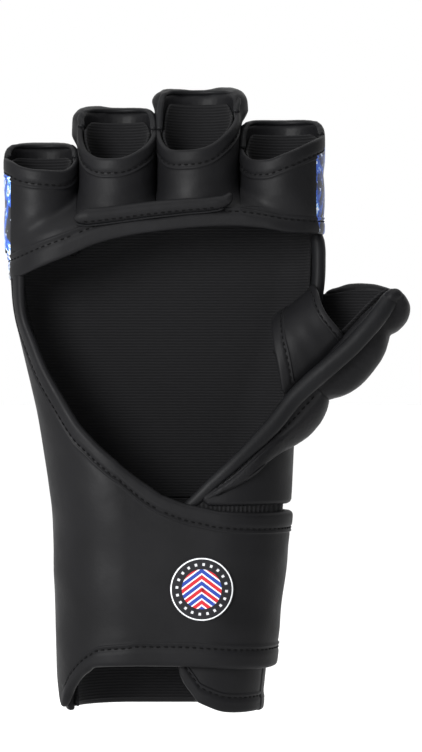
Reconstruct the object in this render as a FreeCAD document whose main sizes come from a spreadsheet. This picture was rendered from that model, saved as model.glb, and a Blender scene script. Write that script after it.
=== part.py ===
import FreeCAD, Part
import math
import os
from types import SimpleNamespace

import Sketcher
from FreeCAD import Placement, Rotation, Vector

# Right-hand open-palm grappling glove, closed as it is worn, standing on its cuff.
# Frame: origin at the middle of the wrist opening, +Z along the hand towards the fingertips,
# -Y out of the palm, +X towards the thumb.  Millimetres.
#
# Every wall of the hand and cuff is cut from one family of skins.  A skin is a loft through
# five slot-shaped sections between the space that the hand fills (depth 0) and the glove's
# outside (depth 1), so two skins of different depth never meet.  A layer is the space
# between two skins, and a panel is a layer inside an outline.

doc = FreeCAD.newDocument("grappling_glove")

# ---------------------------------------------------------------- driving dimensions
# alias, value, what it is
SIZES = [
    ("gap", 0.3, "clearance between pieces that move apart"),
    ("cuff_top", 78.0, "height where the cuff joins the hand"),
    ("strap_low", 16.5, "lower edge of the wrist strap"),
    ("strap_high", 73.5, "upper edge of the strap at the thumb side"),
    ("strap_rise", 76.0, "upper edge of the strap under the palm"),
    ("strap_rise_at", 5.5, "where the strap's upper edge turns into the palm opening"),
    ("fold_at", 28.0, "from the middle to the strap's fold line, little-finger side"),
    ("corner_at", 32.0, "from the middle to the strap's corner, thumb side"),
    ("tail_end", 25.0, "how far the tail reaches past the middle of the back"),
    ("tab_length", 9.7, "length of the strap's end tab"),
    ("hem_corner_at", 38.5, "where the side panel's hem leaves the ground"),
    ("hem_turn_at", 31.0, "first corner of that climb, from the middle"),
    ("hem_turn", 13.5, "height of that corner"),
    ("hem_climb_at", 22.0, "where the strap's lower edge levels out"),
    ("side_top", 158.0, "top of the little-finger side panel"),
    ("side_top_at", 55.5, "palm opening's edge at the top of the side panel"),
    ("palm_edge_radius", 94.0, "radius of the palm opening's long edge"),
    ("band_low_little", 158.7, "palm band's lower edge, little-finger end"),
    ("band_low_little_at", 60.0, "where that end is, from the middle"),
    ("band_low_middle", 179.5, "palm band's lower edge, under the middle finger"),
    ("band_low_middle_at", 23.0, "where that edge is highest"),
    ("band_low_index", 176.0, "palm band's lower edge, thumb end"),
    ("band_edge_radius", 190.0, "radius of the palm band's lower edge"),
    ("side_split", 6.0, "depth where front panels give way to back panels"),
    ("back_start", 6.3, "front edge of the back panels"),
    ("loop_patch_half", 29.0, "half the width of the loop patch"),
    ("elastic_from", 8.0, "free end of the wrist elastic, from the middle"),
    ("cuff_split", 6.0, "how far the dorsal cuff wraps forward, thumb side"),
    ("underlap_end", 3.0, "free end of the underlap, from the middle"),
    ("underlap_low", 0.6, "lower edge of the underlap"),
    ("underlap_high", 60.0, "upper edge of the underlap"),
    ("underlap_corner", 15.0, "rounding of the underlap's lower corner"),
    ("badge_radius", 12.3, "radius of the round badge"),
    ("badge_x", 11.8, "badge centre, across"),
    ("badge_z", 46.2, "badge centre, up"),
    ("finger_lining", 1.0, "wall of a finger's lining tube"),
    ("sleeve_wall", 2.0, "leather of a finger sleeve"),
    ("layer_gap", 0.15, "clearance between glued or sewn layers"),
    ("cover_wall", 1.5, "leather over a finger pad"),
    ("pad_back", 31.0, "back of the finger pads, from the hand's mid-plane"),
    ("pad_round", 9.0, "rounding of a finger pad's long edges"),
    ("pad_crown", 6.0, "rounding of a finger pad's top"),
    ("roll_radius", 2.4, "grip roll across the finger roots"),
    ("roll_length", 54.0, "length of the grip roll"),
    ("roll_x", -32.5, "little-finger end of the grip roll, across"),
    ("roll_z", 181.6, "little-finger end of the grip roll, up"),
    ("roll_depth", 18.2, "grip roll's axis, in front of the hand's mid-plane"),
    ("roll_tilt", 4.4, "grip roll's slope, degrees"),
    ("knuckle_low", 148.0, "lower edge of the knuckle pad"),
    ("knuckle_half", 49.0, "half the width of the knuckle pad"),
    ("thumb_x", 43.3, "root of the thumb, across"),
    ("thumb_z", 129.4, "root of the thumb, up"),
    ("thumb_lean", 42.0, "thumb's lean from upright, degrees"),
    ("thumb_bore", 12.0, "radius inside the thumb loop"),
    ("thumb_lining_outer", 13.15, "inside radius of the thumb's leather and foam"),
    ("thumb_loop_outer", 15.15, "outside radius of the thumb loop"),
    ("loop_length", 24.0, "length of the thumb loop"),
    ("loop_start", 120.0, "where the loop's leather starts round the thumb, degrees"),
    ("loop_sweep", 176.0, "how far round the thumb that leather goes, degrees"),
    ("thumb_pad_radius", 24.6, "outside radius of the thumb pad"),
    ("thumb_pad_length", 46.0, "length of the thumb pad"),
    ("thumb_pad_start", 322.0, "where the pad starts round the thumb, degrees"),
    ("thumb_pad_sweep", 150.0, "how far round the thumb the pad goes, degrees"),
    ("thumb_pad_edge", -9.8, "clear side of the pad, from the thumb's axis"),
    ("thumb_roll", 2.4, "radius of the rolled edge along the thumb"),
    ("thumb_roll_x", 11.8, "that roll's axis, from the thumb's axis outwards"),
    ("thumb_roll_y", -15.0, "that roll's axis, towards the palm's side"),
    ("thenar_length", 27.0, "length of the pad over the ball of the thumb"),
    ("thenar_panel_from", 10.0, "lower inner corner of the panel below that pad"),
    ("thenar_panel_low", 78.6, "lower edge of that panel"),
    ("binding_radius", 2.6, "radius of the rolled edge along the ball of the thumb"),
    ("binding_x", 8.0, "lower end of that roll, across"),
    ("binding_z", 80.4, "lower end of that roll, up"),
    ("binding_depth", 21.5, "lower end of that roll, in front of the hand's mid-plane"),
    ("binding_run", 58.0, "length of that roll"),
    ("binding_lean", 45.7, "that roll's lean from upright, degrees"),
    ("binding_rise", 0.12, "how much it falls back towards the hand on the way up"),
    # depths of the skins, as a share of the wall
    ("lining_out", 0.12, "outside of the lining"),
    ("under_in", 0.14, "inside of everything that lies on the lining"),
    ("underlap_mid", 0.25, "between the underlap's lining and leather"),
    ("cuff_out", 0.40, "outside of the dorsal cuff leather"),
    ("loop_in", 0.42, "inside of the loop patch"),
    ("underlap_out", 0.45, "outside of the underlap"),
    ("loop_out", 0.50, "outside of the loop patch"),
    ("strap_in", 0.56, "inside of the strap and of its hook patch"),
    ("strap_lining_out", 0.66, "outside of the strap's backing"),
    ("strap_leather_in", 0.68, "inside of the strap leather"),
    ("foam_out", 0.80, "outside of the back foam"),
    ("cover_in", 0.82, "inside of the back cover"),
    ("outside", 0.99, "outside of the glove"),
    ("badge_out", 1.06, "face of the badge"),
    ("knuckle_in", 1.02, "inside of the knuckle foam"),
    ("knuckle_mid", 1.40, "outside of the knuckle foam"),
    ("knuckle_cover_in", 1.42, "inside of the knuckle cover"),
    ("knuckle_out", 1.56, "outside of the knuckle cover"),
]

# height, then the distances from the axis to the left, right, front and back:
# first those of the space inside, then those of the glove's outside
STATIONS = {
    "hem": (0.0, (35.5, 31.0, 19.0, 23.0), (42.5, 38.0, 26.0, 31.0)),
    "cuff": (75.0, (37.5, 39.0, 18.5, 22.5), (44.5, 46.0, 25.5, 31.0)),
    "heel": (110.0, (44.0, 42.0, 17.0, 19.5), (50.0, 47.5, 22.0, 30.0)),
    "palm": (150.0, (55.5, 53.0, 14.5, 14.5), (59.5, 57.0, 18.5, 26.0)),
    "knuckle": (192.0, (58.9, 54.5, 13.0, 13.0), (62.0, 57.5, 16.5, 26.0)),
}
SIDES = ("left", "right", "front", "back")

# middle of each finger across the hand, bore radius, height of its knuckle line,
# and the heights of the opening's front and back above that line
FINGERS = {
    "little": (-48.3, 10.5, 170.0, 28.0, 38.0),
    "ring": (-19.9, 11.3, 187.0, 16.0, 36.0),
    "middle": (10.3, 12.2, 189.5, 19.0, 41.5),
    "index": (41.7, 12.5, 182.0, 18.5, 37.0),
}
FAR = 90.0  # beyond the glove in every direction
FAR_UP = 260.0


class Size:
    """A size with its value now and the expression that ties it to the sheet."""

    def __init__(self, value, text=None):
        self.value = float(value)
        self.text = text or f"({value})"

    def joined(self, other, sign, work):
        other = as_size(other)
        return Size(work(self.value, other.value), f"({self.text} {sign} {other.text})")

    def __add__(self, other):
        return self.joined(other, "+", lambda a, b: a + b)

    def __sub__(self, other):
        return self.joined(other, "-", lambda a, b: a - b)

    def __mul__(self, other):
        return self.joined(other, "*", lambda a, b: a * b)

    def __truediv__(self, other):
        return self.joined(other, "/", lambda a, b: a / b)

    def __neg__(self):
        return Size(0.0) - self

    def __rmul__(self, other):
        return as_size(other) * self


def as_size(value):
    return value if isinstance(value, Size) else Size(value)


def fill_sheet():
    """The spreadsheet with every driving dimension; returns them by alias."""
    rows = [*SIZES]
    for station, (height, inner, outer) in STATIONS.items():
        rows.append((f"{station}_height", height, f"height of the {station} section"))
        for side, near, far in zip(SIDES, inner, outer):
            rows.append((f"{station}_in_{side}", near, f"inside, {side}"))
            rows.append((f"{station}_out_{side}", far, f"outside, {side}"))
    for finger, numbers in FINGERS.items():
        for what, value in zip(("middle", "bore", "knuckle", "front", "rear"), numbers):
            rows.append((f"{finger}_{what}", value, f"{finger} finger, {what}"))
    sheet = doc.addObject("Spreadsheet::Sheet", "Sizes")
    for row, (alias, value, note) in enumerate(rows, 1):
        sheet.set(f"A{row}", note)
        sheet.set(f"B{row}", str(value))
        sheet.setAlias(f"B{row}", alias)
    doc.recompute()
    return {alias: Size(value, f"Sizes.{alias}") for alias, value, note in rows}


sizes = fill_sheet()
s = SimpleNamespace(**sizes)


def bind(thing, **properties):
    """Ties properties to the sheet; a double underscore in a name stands for a dot."""
    for name, size in properties.items():
        size = as_size(size)
        path = name.replace("__", ".")
        if "." not in path:
            setattr(thing, path, size.value)
        thing.setExpression(path, size.text)
    return thing


def move(thing, x=0.0, y=0.0, z=0.0):
    return bind(thing, Placement__Base__x=x, Placement__Base__y=y, Placement__Base__z=z)


# ---------------------------------------------------------------- sketches
def pin_point(sketch, geometry, point, x, y):
    """Fixes one point of a sketch at (x, y), tied to the sheet."""
    for kind, size in (("DistanceX", as_size(x)), ("DistanceY", as_size(y))):
        rule = Sketcher.Constraint(kind, -1, 1, geometry, point, size.value)
        index = sketch.addConstraint(rule)
        sketch.renameConstraint(index, f"{kind[-1]}{geometry}_{point}")
        sketch.setExpression(f"Constraints.{kind[-1]}{geometry}_{point}", size.text)


def pin_radius(sketch, geometry, radius):
    index = sketch.addConstraint(Sketcher.Constraint("Radius", geometry, radius.value))
    sketch.renameConstraint(index, f"R{geometry}")
    sketch.setExpression(f"Constraints.R{geometry}", radius.text)


def slot_sketch(name, left, right, front, back, height):
    """A slot section across the hand, from -left to right and from -front to back."""
    sketch = doc.addObject("Sketcher::SketchObject", name)
    radius = (front + back) / 2.0
    middle = (back - front) / 2.0
    left_x, right_x = radius - left, right - radius
    r, y, x0, x1 = radius.value, middle.value, left_x.value, right_x.value
    up = Vector(0, 0, 1)
    arcs = [
        Part.ArcOfCircle(Part.Circle(Vector(x1, y), up, r), -math.pi / 2, math.pi / 2),
        Part.ArcOfCircle(Part.Circle(Vector(x0, y), up, r), math.pi / 2, 1.5 * math.pi),
    ]
    lines = [
        Part.LineSegment(Vector(x1, y + r), Vector(x0, y + r)),
        Part.LineSegment(Vector(x0, y - r), Vector(x1, y - r)),
    ]
    sketch.addGeometry([arcs[0], lines[0], arcs[1], lines[1]], False)
    for a, b in ((0, 1), (1, 2), (2, 3), (3, 0)):
        sketch.addConstraint(Sketcher.Constraint("Tangent", a, 2, b, 1))
    for line in (1, 3):
        sketch.addConstraint(Sketcher.Constraint("Horizontal", line))
    pin_radius(sketch, 0, radius)
    pin_point(sketch, 0, 3, right_x, middle)
    index = sketch.addConstraint(Sketcher.Constraint("DistanceX", -1, 1, 2, 3, x0))
    sketch.renameConstraint(index, "X2_3")
    sketch.setExpression("Constraints.X2_3", left_x.text)
    move(sketch, z=height)
    return sketch


def outline_sketch(name, points):
    """A closed outline.  Each point is (x, y), or (x, y, radius) where the stretch that ends
    there is an arc: a positive radius turns left on the way, a negative one turns right."""
    sketch = doc.addObject("Sketcher::SketchObject", name)
    ends = [Vector(as_size(p[0]).value, as_size(p[1]).value) for p in points]
    finish = []  # which end of each piece of geometry is the one the way round comes to
    for i, point in enumerate(points):
        start, end = ends[i - 1], ends[i]
        if len(point) == 2:
            sketch.addGeometry(Part.LineSegment(start, end), False)
            finish.append(2)
            continue
        turns_left = point[2].value > 0
        radius = abs(point[2].value)
        along = (end - start) / 2
        aside = Vector(-along.y, along.x).normalize()
        reach = math.sqrt(radius**2 - along.Length**2)
        centre = start + along + aside * (reach if turns_left else -reach)
        first, last = (start, end) if turns_left else (end, start)
        angles = [math.atan2(p.y - centre.y, p.x - centre.x) for p in (first, last)]
        circle = Part.Circle(centre, Vector(0, 0, 1), radius)
        sketch.addGeometry(Part.ArcOfCircle(circle, *angles), False)
        finish.append(2 if turns_left else 1)
    for i, point in enumerate(points):
        after = (i + 1) % len(points)
        sketch.addConstraint(Sketcher.Constraint("Coincident", i, finish[i], after, 3 - finish[after]))
        pin_point(sketch, i, finish[i], point[0], point[1])
        if len(point) == 3:
            radius = point[2] if point[2].value > 0 else -point[2]
            pin_radius(sketch, i, radius)
    return sketch


# ---------------------------------------------------------------- solids
def extrusion(name, sketch, length):
    solid = doc.addObject("Part::Extrusion", name)
    solid.Base = sketch
    solid.DirMode = "Normal"
    solid.Solid = True
    return bind(solid, LengthFwd=length)


def front_prism(name, points, start, length):
    """An outline drawn in X and Z, pushed from y = start towards the palm's side."""
    sketch = outline_sketch(f"{name}_outline", points)
    sketch.Placement = Placement(Vector(), Rotation(Vector(1, 0, 0), 90))
    move(sketch, y=start)
    return extrusion(name, sketch, length)


def side_prism(name, points):
    """An outline drawn in Y and Z, pushed right through the glove along X."""
    sketch = outline_sketch(f"{name}_outline", points)
    sketch.Placement = Placement(Vector(), Rotation(Vector(1, 1, 1), 120))
    move(sketch, x=-FAR)
    return extrusion(name, sketch, 2 * FAR)


def plan_prism(name, points, low, high):
    """An outline drawn in X and Y, between two heights."""
    sketch = outline_sketch(f"{name}_outline", points)
    move(sketch, z=low)
    return extrusion(name, sketch, as_size(high) - low)


def box(name, x, y, z):
    """A box between pairs of sizes along X, Y and Z."""
    pairs = [(as_size(low), as_size(high)) for low, high in (x, y, z)]
    solid = doc.addObject("Part::Box", name)
    bind(
        solid,
        Length=pairs[0][1] - pairs[0][0],
        Width=pairs[1][1] - pairs[1][0],
        Height=pairs[2][1] - pairs[2][0],
    )
    return move(solid, *[low for low, high in pairs])


def cylinder(name, radius, height, sweep=360.0):
    solid = doc.addObject("Part::Cylinder", name)
    return bind(solid, Radius=radius, Height=height, Angle=sweep)


def cut(name, base, *tools):
    """base without the tools."""
    for number, tool in enumerate(tools, 1):
        last = number == len(tools)
        step = doc.addObject("Part::Cut", name if last else f"{name}_step{number}")
        step.Base, step.Tool = base, tool
        base = step
    return base


def common(name, base, *tools):
    """What base and all the tools share."""
    for number, tool in enumerate(tools, 1):
        last = number == len(tools)
        step = doc.addObject("Part::Common", name if last else f"{name}_part{number}")
        step.Base, step.Tool = base, tool
        base = step
    return base


def fuse(name, a, b):
    solid = doc.addObject("Part::Fuse", name)
    solid.Base, solid.Tool = a, b
    return solid


# ---------------------------------------------------------------- skins and layers
skins, layers = {}, {}


def skin(depth):
    """The solid inside the skin at a depth: an alias of the sheet, or 0 for the hand's own space."""
    if depth in skins:
        return skins[depth]
    share = sizes[depth] if depth else Size(0.0)
    sections = []
    for station in STATIONS:
        reach = []
        for side in SIDES:
            near, far = sizes[f"{station}_in_{side}"], sizes[f"{station}_out_{side}"]
            reach.append(near + (far - near) * share)
        name = f"section_{depth or 'hand'}_{station}"
        sections.append(slot_sketch(name, *reach, sizes[f"{station}_height"]))
    loft = doc.addObject("Part::Loft", f"skin_{depth or 'hand'}")
    loft.Sections = sections
    loft.Solid = True
    loft.Ruled = True
    skins[depth] = loft
    return loft


def layer(inside, outside):
    if (inside, outside) not in layers:
        name = f"layer_{inside or 'hand'}_{outside}"
        layers[inside, outside] = cut(name, skin(outside), skin(inside))
    return layers[inside, outside]


kept = {}


def keep(label, solid):
    """Names a finished sub-part."""
    solid.Label = label
    kept[label] = solid


# ---------------------------------------------------------------- outlines shared by panels
def finger_half(finger):
    """Half the width of a finger unit."""
    return sizes[f"{finger}_bore"] + s.finger_lining + s.sleeve_wall + s.layer_gap


def knuckle_steps(drop):
    """The stepped knuckle line, from the thumb side to the little finger, lowered by drop."""
    high = {finger: sizes[f"{finger}_knuckle"] - drop for finger in FINGERS}
    steps = []
    for finger, neighbour in (("index", "middle"), ("middle", "ring"), ("ring", "little")):
        edge = sizes[f"{finger}_middle"] - finger_half(finger) - s.gap / 2.0
        steps += [(edge, high[finger]), (edge, high[neighbour])]
    return [(FAR, high["index"]), *steps, (-FAR, high["little"])]


def fold_gap(sign):
    return -s.fold_at + s.gap * sign


# ---------------------------------------------------------------- thumb frame
def thumb_place(thing, x=0.0, y=0.0, z=0.0, turn=0.0):
    """Places a thing given in the thumb's own frame, whose Z runs along the thumb and whose
    X points away from the fingers.  turn is the angle about the thumb where it starts."""
    x, y, z, turn = (as_size(v).text for v in (x, y, z, turn))
    lean = "Sizes.thumb_lean"
    base = [
        f"Sizes.thumb_x + {x} * cos({lean}) + {z} * sin({lean})",
        y,
        f"Sizes.thumb_z - {x} * sin({lean}) + {z} * cos({lean})",
    ]
    spin = f"rotation(vector(0; 1; 0); {lean}) * rotation(vector(0; 0; 1); {turn})"
    thing.setExpression("Placement", f"placement(vector({'; '.join(base)}); {spin})")
    return thing


def thumb_ring(name, inner, outer, low, high, start=0.0, sweep=360.0):
    """Part of a tube round the thumb."""
    low, high = as_size(low), as_size(high)
    solid = cylinder(f"{name}_outer", outer, high - low, sweep)
    thumb_place(solid, z=low, turn=start)
    bore = thumb_place(cylinder(f"{name}_inner", inner, high - low + 2.0), z=low - 1.0)
    return cut(name, solid, bore)


def make_thumb_clearance():
    """The room the thumb needs: all round its loop, and its pad on the outer side."""
    room = thumb_place(
        cylinder("thumb_room_pad", s.thumb_pad_radius + 2.0 * s.gap, 110.0),
        z=-s.thenar_length - s.gap,
    )
    side = box("thumb_room_side", (s.thumb_pad_edge, FAR), (-FAR, FAR), (-FAR, FAR))
    thumb_place(side, x=s.thumb_pad_edge, y=-FAR, z=-FAR)
    loop_room = cylinder("thumb_room_loop", s.thumb_loop_outer + s.gap, 90.0)
    thumb_place(loop_room, z=-s.gap)
    return fuse("thumb_room", common("thumb_room_outer", room, side), loop_room)


# ---------------------------------------------------------------- the hand and the cuff
def make_cuff():
    wrap = plan_prism(
        "cuff_region",
        [(-FAR, s.back_start), (0.0, s.back_start), (0.0, -s.cuff_split), (FAR, -s.cuff_split),
         (FAR, FAR), (-FAR, FAR)],
        0.0,
        s.cuff_top,
    )
    keep("cuff_lining", common("lining_wrap", layer("", "lining_out"), wrap))
    keep("cuff_back", common("cuff_wrap", layer("under_in", "cuff_out"), wrap))
    patch = box(
        "loop_region",
        (-s.loop_patch_half, s.loop_patch_half),
        (s.back_start, FAR),
        (s.strap_low + 1.0, s.strap_high - 3.0),
    )
    keep("loop_patch", common("loop_on_cuff", layer("loop_in", "loop_out"), patch))
    elastic = box(
        "elastic_region",
        (s.elastic_from, FAR),
        (-FAR, -s.cuff_split - s.gap),
        (s.underlap_high + 1.0, s.cuff_top),
    )
    keep("wrist_elastic", common("elastic_band", layer("under_in", "underlap_out"), elastic))


def make_side_panel():
    """The long panel down the little-finger side, from the palm opening to the cuff's hem."""
    left = box("side_region", (-FAR, fold_gap(-1)), (-FAR, s.side_split), (0.0, s.side_top))
    for label, inside, outside in (
        ("side_panel_lining", "", "lining_out"),
        ("side_panel_foam", "under_in", "strap_lining_out"),
        ("side_panel", "strap_leather_in", "outside"),
    ):
        keep(label, common(f"{label}_piece", layer(inside, outside), closure, left))


def make_palm_band():
    """The band across the finger roots and the grip roll sewn on it."""
    low = [
        (-FAR, s.band_low_little),
        (-s.band_low_little_at, s.band_low_little),
        (s.band_low_middle_at, s.band_low_middle, -s.band_edge_radius),
        (FAR, s.band_low_index),
    ]
    region = front_prism("band_region", [*low, *knuckle_steps(s.gap)], s.side_split, FAR)
    for label, inside, outside in (
        ("palm_band_lining", "", "lining_out"),
        ("palm_band", "under_in", "outside"),
    ):
        keep(label, common(f"{label}_piece", layer(inside, outside), region))
    rod = cylinder("roll_rod", s.roll_radius, s.roll_length)
    lean = "Sizes.roll_tilt"
    base = "vector(Sizes.roll_x; -Sizes.roll_depth; Sizes.roll_z)"
    rod.setExpression("Placement", f"placement({base}; rotation(vector(0; 1; 0); 90 - {lean}))")
    grip = cut("roll_on_band", rod, skin("outside"))
    keep("grip_roll", grip)


def make_hand_back(room):
    region = front_prism(
        "hand_back_region",
        [(-FAR, s.cuff_top + s.gap), (FAR, s.cuff_top + s.gap), *knuckle_steps(s.gap)],
        FAR,
        Size(FAR) - s.back_start,
    )
    for label, inside, outside in (
        ("hand_back_lining", "", "lining_out"),
        ("hand_back_foam", "under_in", "foam_out"),
        ("hand_back_cover", "cover_in", "outside"),
    ):
        piece = common(f"{label}_piece", layer(inside, outside), region)
        keep(label, cut(f"{label}_trimmed", piece, room))
    half = s.knuckle_half
    outline = [(-half, s.knuckle_low), (half, s.knuckle_low)]
    steps = knuckle_steps(s.gap)
    outline += [(half, steps[0][1]), *steps[1:-1], (-half, steps[-1][1])]
    knuckles = front_prism("knuckle_region", outline, FAR, Size(FAR) - 2.0 * s.side_split)
    for label, inside, outside in (
        ("knuckle_pad_foam", "knuckle_in", "knuckle_mid"),
        ("knuckle_pad_cover", "knuckle_cover_in", "knuckle_out"),
    ):
        piece = common(f"{label}_piece", layer(inside, outside), knuckles)
        keep(label, cut(f"{label}_trimmed", piece, room))


def make_thenar(room):
    """The pad on the ball of the thumb, the panel below it and the rolled edge beside it."""
    low, high = -s.thenar_length, -s.gap * 2.0
    start, sweep = s.thumb_pad_start, s.thumb_pad_sweep
    foam_out = s.thumb_pad_radius - s.cover_wall
    pad = ("thenar_pad_foam", s.thumb_lining_outer, foam_out - s.layer_gap)
    cover = ("thenar_pad_cover", foam_out, s.thumb_pad_radius)
    for label, inner, outer in (pad, cover):
        keep(label, thumb_ring(f"{label}_piece", inner, outer, low, high, start, sweep))
    rod = cylinder("binding_rod", s.binding_radius, s.binding_run)
    groove = cylinder("binding_groove", s.binding_radius + s.gap, s.binding_run + 8.0)
    start = "placement(vector(Sizes.binding_x; -Sizes.binding_depth; Sizes.binding_z); "
    start += "rotation(vector(-Sizes.binding_rise; 1; 0); Sizes.binding_lean))"
    for solid, back in ((rod, 0), (groove, -4)):
        along = f"placement(vector(0; 0; {back}); rotation(vector(0; 0; 1); 0))"
        solid.setExpression("Placement", f"{start} * {along}")
    keep("thenar_binding", rod)
    outline = [
        (s.thenar_panel_from, s.thenar_panel_low),
        (FAR, s.thenar_panel_low),
        (FAR, s.thumb_z),
        (s.thenar_panel_from + s.thumb_z - s.thenar_panel_low, s.thumb_z),
    ]
    region = front_prism("thenar_region", outline, s.side_split, FAR)
    panel = common("thenar_panel_piece", layer("under_in", "outside"), region)
    keep("thenar_panel", cut("thenar_panel_trimmed", panel, room, groove))


# ---------------------------------------------------------------- fingers
def rounded_plan(name, finger, inset, low, high):
    """The pad of a finger seen from its tip: square in front, rounded behind."""
    middle = sizes[f"{finger}_middle"]
    half = finger_half(finger) - inset
    back = s.pad_back - inset
    turn = s.pad_round - inset
    points = [
        (middle - half, 0.0),
        (middle + half, 0.0),
        (middle + half, back - turn),
        (middle + half - turn, back, turn),
        (middle - half + turn, back),
        (middle - half, back - turn, turn),
    ]
    return plan_prism(name, points, low, high)


def finger_side(name, finger, inset):
    """A finger unit seen from the side: low in front, high over the pad, rounded behind."""
    base = sizes[f"{finger}_knuckle"] + s.gap
    front = base + sizes[f"{finger}_front"] - inset
    rear = base + sizes[f"{finger}_rear"] - inset
    reach = finger_half(finger)
    back = s.pad_back - inset
    points = [
        (-FAR, base),
        (back, base),
        (back, rear - s.pad_crown),
        (back - s.pad_crown, rear, s.pad_crown),
        (reach * 0.6, rear),
        (-reach, front),
        (-FAR, front),
    ]
    return side_prism(name, points)


def make_finger(finger):
    middle, bore = sizes[f"{finger}_middle"], sizes[f"{finger}_bore"]
    base = sizes[f"{finger}_knuckle"] + s.gap
    lining_out = bore + s.finger_lining
    sleeve_in = lining_out + s.layer_gap
    side = finger_side(f"{finger}_side", finger, 0.0)
    tubes = {}
    for what, radius in (
        ("bore", bore),
        ("lining", lining_out),
        ("clear", sleeve_in),
        ("sleeve", sleeve_in + s.sleeve_wall),
    ):
        tube = cylinder(f"{finger}_{what}_tube", radius, 60.0)
        tubes[what] = move(tube, x=middle, z=base - 5.0)
    lining = cut(f"{finger}_lining_tube_wall", tubes["lining"], tubes["bore"])
    keep(f"{finger}_lining", common(f"{finger}_lining_piece", lining, side))
    sleeve = cut(f"{finger}_sleeve_wall", tubes["sleeve"], tubes["clear"])
    front = box(f"{finger}_front_half", (-FAR, FAR), (-FAR, -0.1), (0.0, FAR_UP))
    keep(f"{finger}_sleeve", common(f"{finger}_sleeve_piece", sleeve, side, front))

    outer = common(
        f"{finger}_pad_shape",
        rounded_plan(f"{finger}_pad_plan", finger, Size(0.0), base, FAR_UP),
        side,
    )
    inner = common(
        f"{finger}_pad_core",
        rounded_plan(f"{finger}_pad_core_plan", finger, s.cover_wall, 0.0, FAR_UP),
        finger_side(f"{finger}_core_side", finger, s.cover_wall),
    )
    keep(f"{finger}_pad_cover", cut(f"{finger}_pad_shell", outer, inner, tubes["clear"]))
    foam = common(
        f"{finger}_foam_shape",
        rounded_plan(f"{finger}_foam_plan", finger, s.cover_wall + s.layer_gap, 0.0, FAR_UP),
        finger_side(f"{finger}_foam_side", finger, s.cover_wall + s.layer_gap),
    )
    keep(f"{finger}_pad_foam", cut(f"{finger}_foam_piece", foam, tubes["clear"]))


# ---------------------------------------------------------------- thumb
def make_thumb():
    bore, high = s.thumb_bore, s.loop_length
    lining = thumb_ring("thumb_lining_wall", bore, s.thumb_lining_outer - s.layer_gap, s.gap, high)
    keep("thumb_lining", lining)
    loop = ("thumb_loop_wall", s.thumb_lining_outer, s.thumb_loop_outer, s.gap, high)
    keep("thumb_loop", thumb_ring(*loop, s.loop_start, s.loop_sweep))
    start, sweep = s.thumb_pad_start, s.thumb_pad_sweep
    foam_out = s.thumb_pad_radius - s.cover_wall
    pad_in, top = s.thumb_lining_outer, s.thumb_pad_length
    foam = thumb_ring(
        "thumb_foam_wall", pad_in, foam_out - s.layer_gap, s.gap, top - s.cover_wall, start, sweep
    )
    keep("thumb_pad_foam", foam)
    shell = thumb_ring("thumb_shell", foam_out, s.thumb_pad_radius, s.gap, top, start, sweep)
    lid = thumb_ring(
        "thumb_lid", pad_in, foam_out, top - s.cover_wall + s.layer_gap, top, start, sweep
    )
    keep("thumb_pad_cover", fuse("thumb_pad_shell", shell, lid))
    rod = cylinder("thumb_rod", s.thumb_roll, top - s.gap)
    across, back = s.thumb_roll_x, s.thumb_roll_y
    keep("thumb_binding", thumb_place(rod, x=across, y=back, z=s.gap))


# ---------------------------------------------------------------- closure
def make_strap():
    """The wrist strap: the part in front, the tail round to the back, its end tab."""
    front = box(
        "strap_front_region", (fold_gap(1), s.corner_at), (-FAR, 0.0), (0.0, s.side_top)
    )
    for label, inside, outside in (
        ("strap_lining", "strap_in", "strap_lining_out"),
        ("strap_front", "strap_leather_in", "outside"),
    ):
        keep(label, common(f"{label}_piece", layer(inside, outside), closure, front))
    disc = cylinder("badge_disc", s.badge_radius, FAR)
    at = "vector(Sizes.badge_x; 0; Sizes.badge_z)"
    disc.setExpression("Placement", f"placement({at}; rotation(vector(1; 0; 0); 90))")
    keep("badge", common("badge_piece", layer("outside", "badge_out"), disc))

    corner = s.corner_at + s.gap
    tab_from = -s.tail_end + s.tab_length
    tail = plan_prism(
        "tail_region",
        [(corner, -FAR), (FAR, -FAR), (FAR, FAR), (tab_from, FAR), (tab_from, 5.0), (corner, 5.0)],
        s.strap_low,
        s.strap_high,
    )
    keep("strap_tail", common("tail_piece", layer("strap_leather_in", "outside"), tail))
    hook = box(
        "hook_region",
        (tab_from + 2.0, s.loop_patch_half - 11.0),
        (s.back_start, FAR),
        (s.strap_low + 3.0, s.strap_high - 5.0),
    )
    keep("hook_patch", common("hook_piece", layer("strap_in", "strap_lining_out"), hook))
    tab = box(
        "tab_region",
        (-s.tail_end, tab_from - s.layer_gap),
        (s.back_start, FAR),
        (s.strap_low + 4.0, s.strap_high - 4.0),
    )
    keep("strap_tab", common("tab_piece", layer("strap_leather_in", "outside"), tab))


def make_underlap():
    edge, low, high = s.underlap_end, s.underlap_low, s.underlap_high
    turn = s.underlap_corner
    outline = [
        (edge, high),
        (edge, low + turn),
        (edge + turn, low, turn),
        (FAR, low),
        (FAR, high),
    ]
    start = -s.cuff_split - s.gap
    region = front_prism("underlap_region", outline, start, Size(FAR) + start)
    for label, inside, outside in (
        ("underlap_lining", "", "lining_out"),
        ("underlap", "under_in", "underlap_out"),
    ):
        keep(label, common(f"{label}_piece", layer(inside, outside), region))


closure = front_prism(
    "closure_region",
    [
        (-FAR, 0.0),
        (-s.hem_corner_at, 0.0),
        (-s.hem_turn_at, s.hem_turn),
        (-s.hem_climb_at, s.strap_low),
        (FAR, s.strap_low),
        (FAR, s.strap_high),
        (s.strap_rise_at, s.strap_rise),
        (-s.side_top_at, s.side_top, -s.palm_edge_radius),
        (-FAR, s.side_top),
    ],
    s.side_split,
    FAR,
)
thumb_room = make_thumb_clearance()
make_cuff()
make_side_panel()
make_palm_band()
make_hand_back(thumb_room)
make_thenar(thumb_room)
for name in FINGERS:
    make_finger(name)
make_thumb()
make_strap()
make_underlap()

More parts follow.
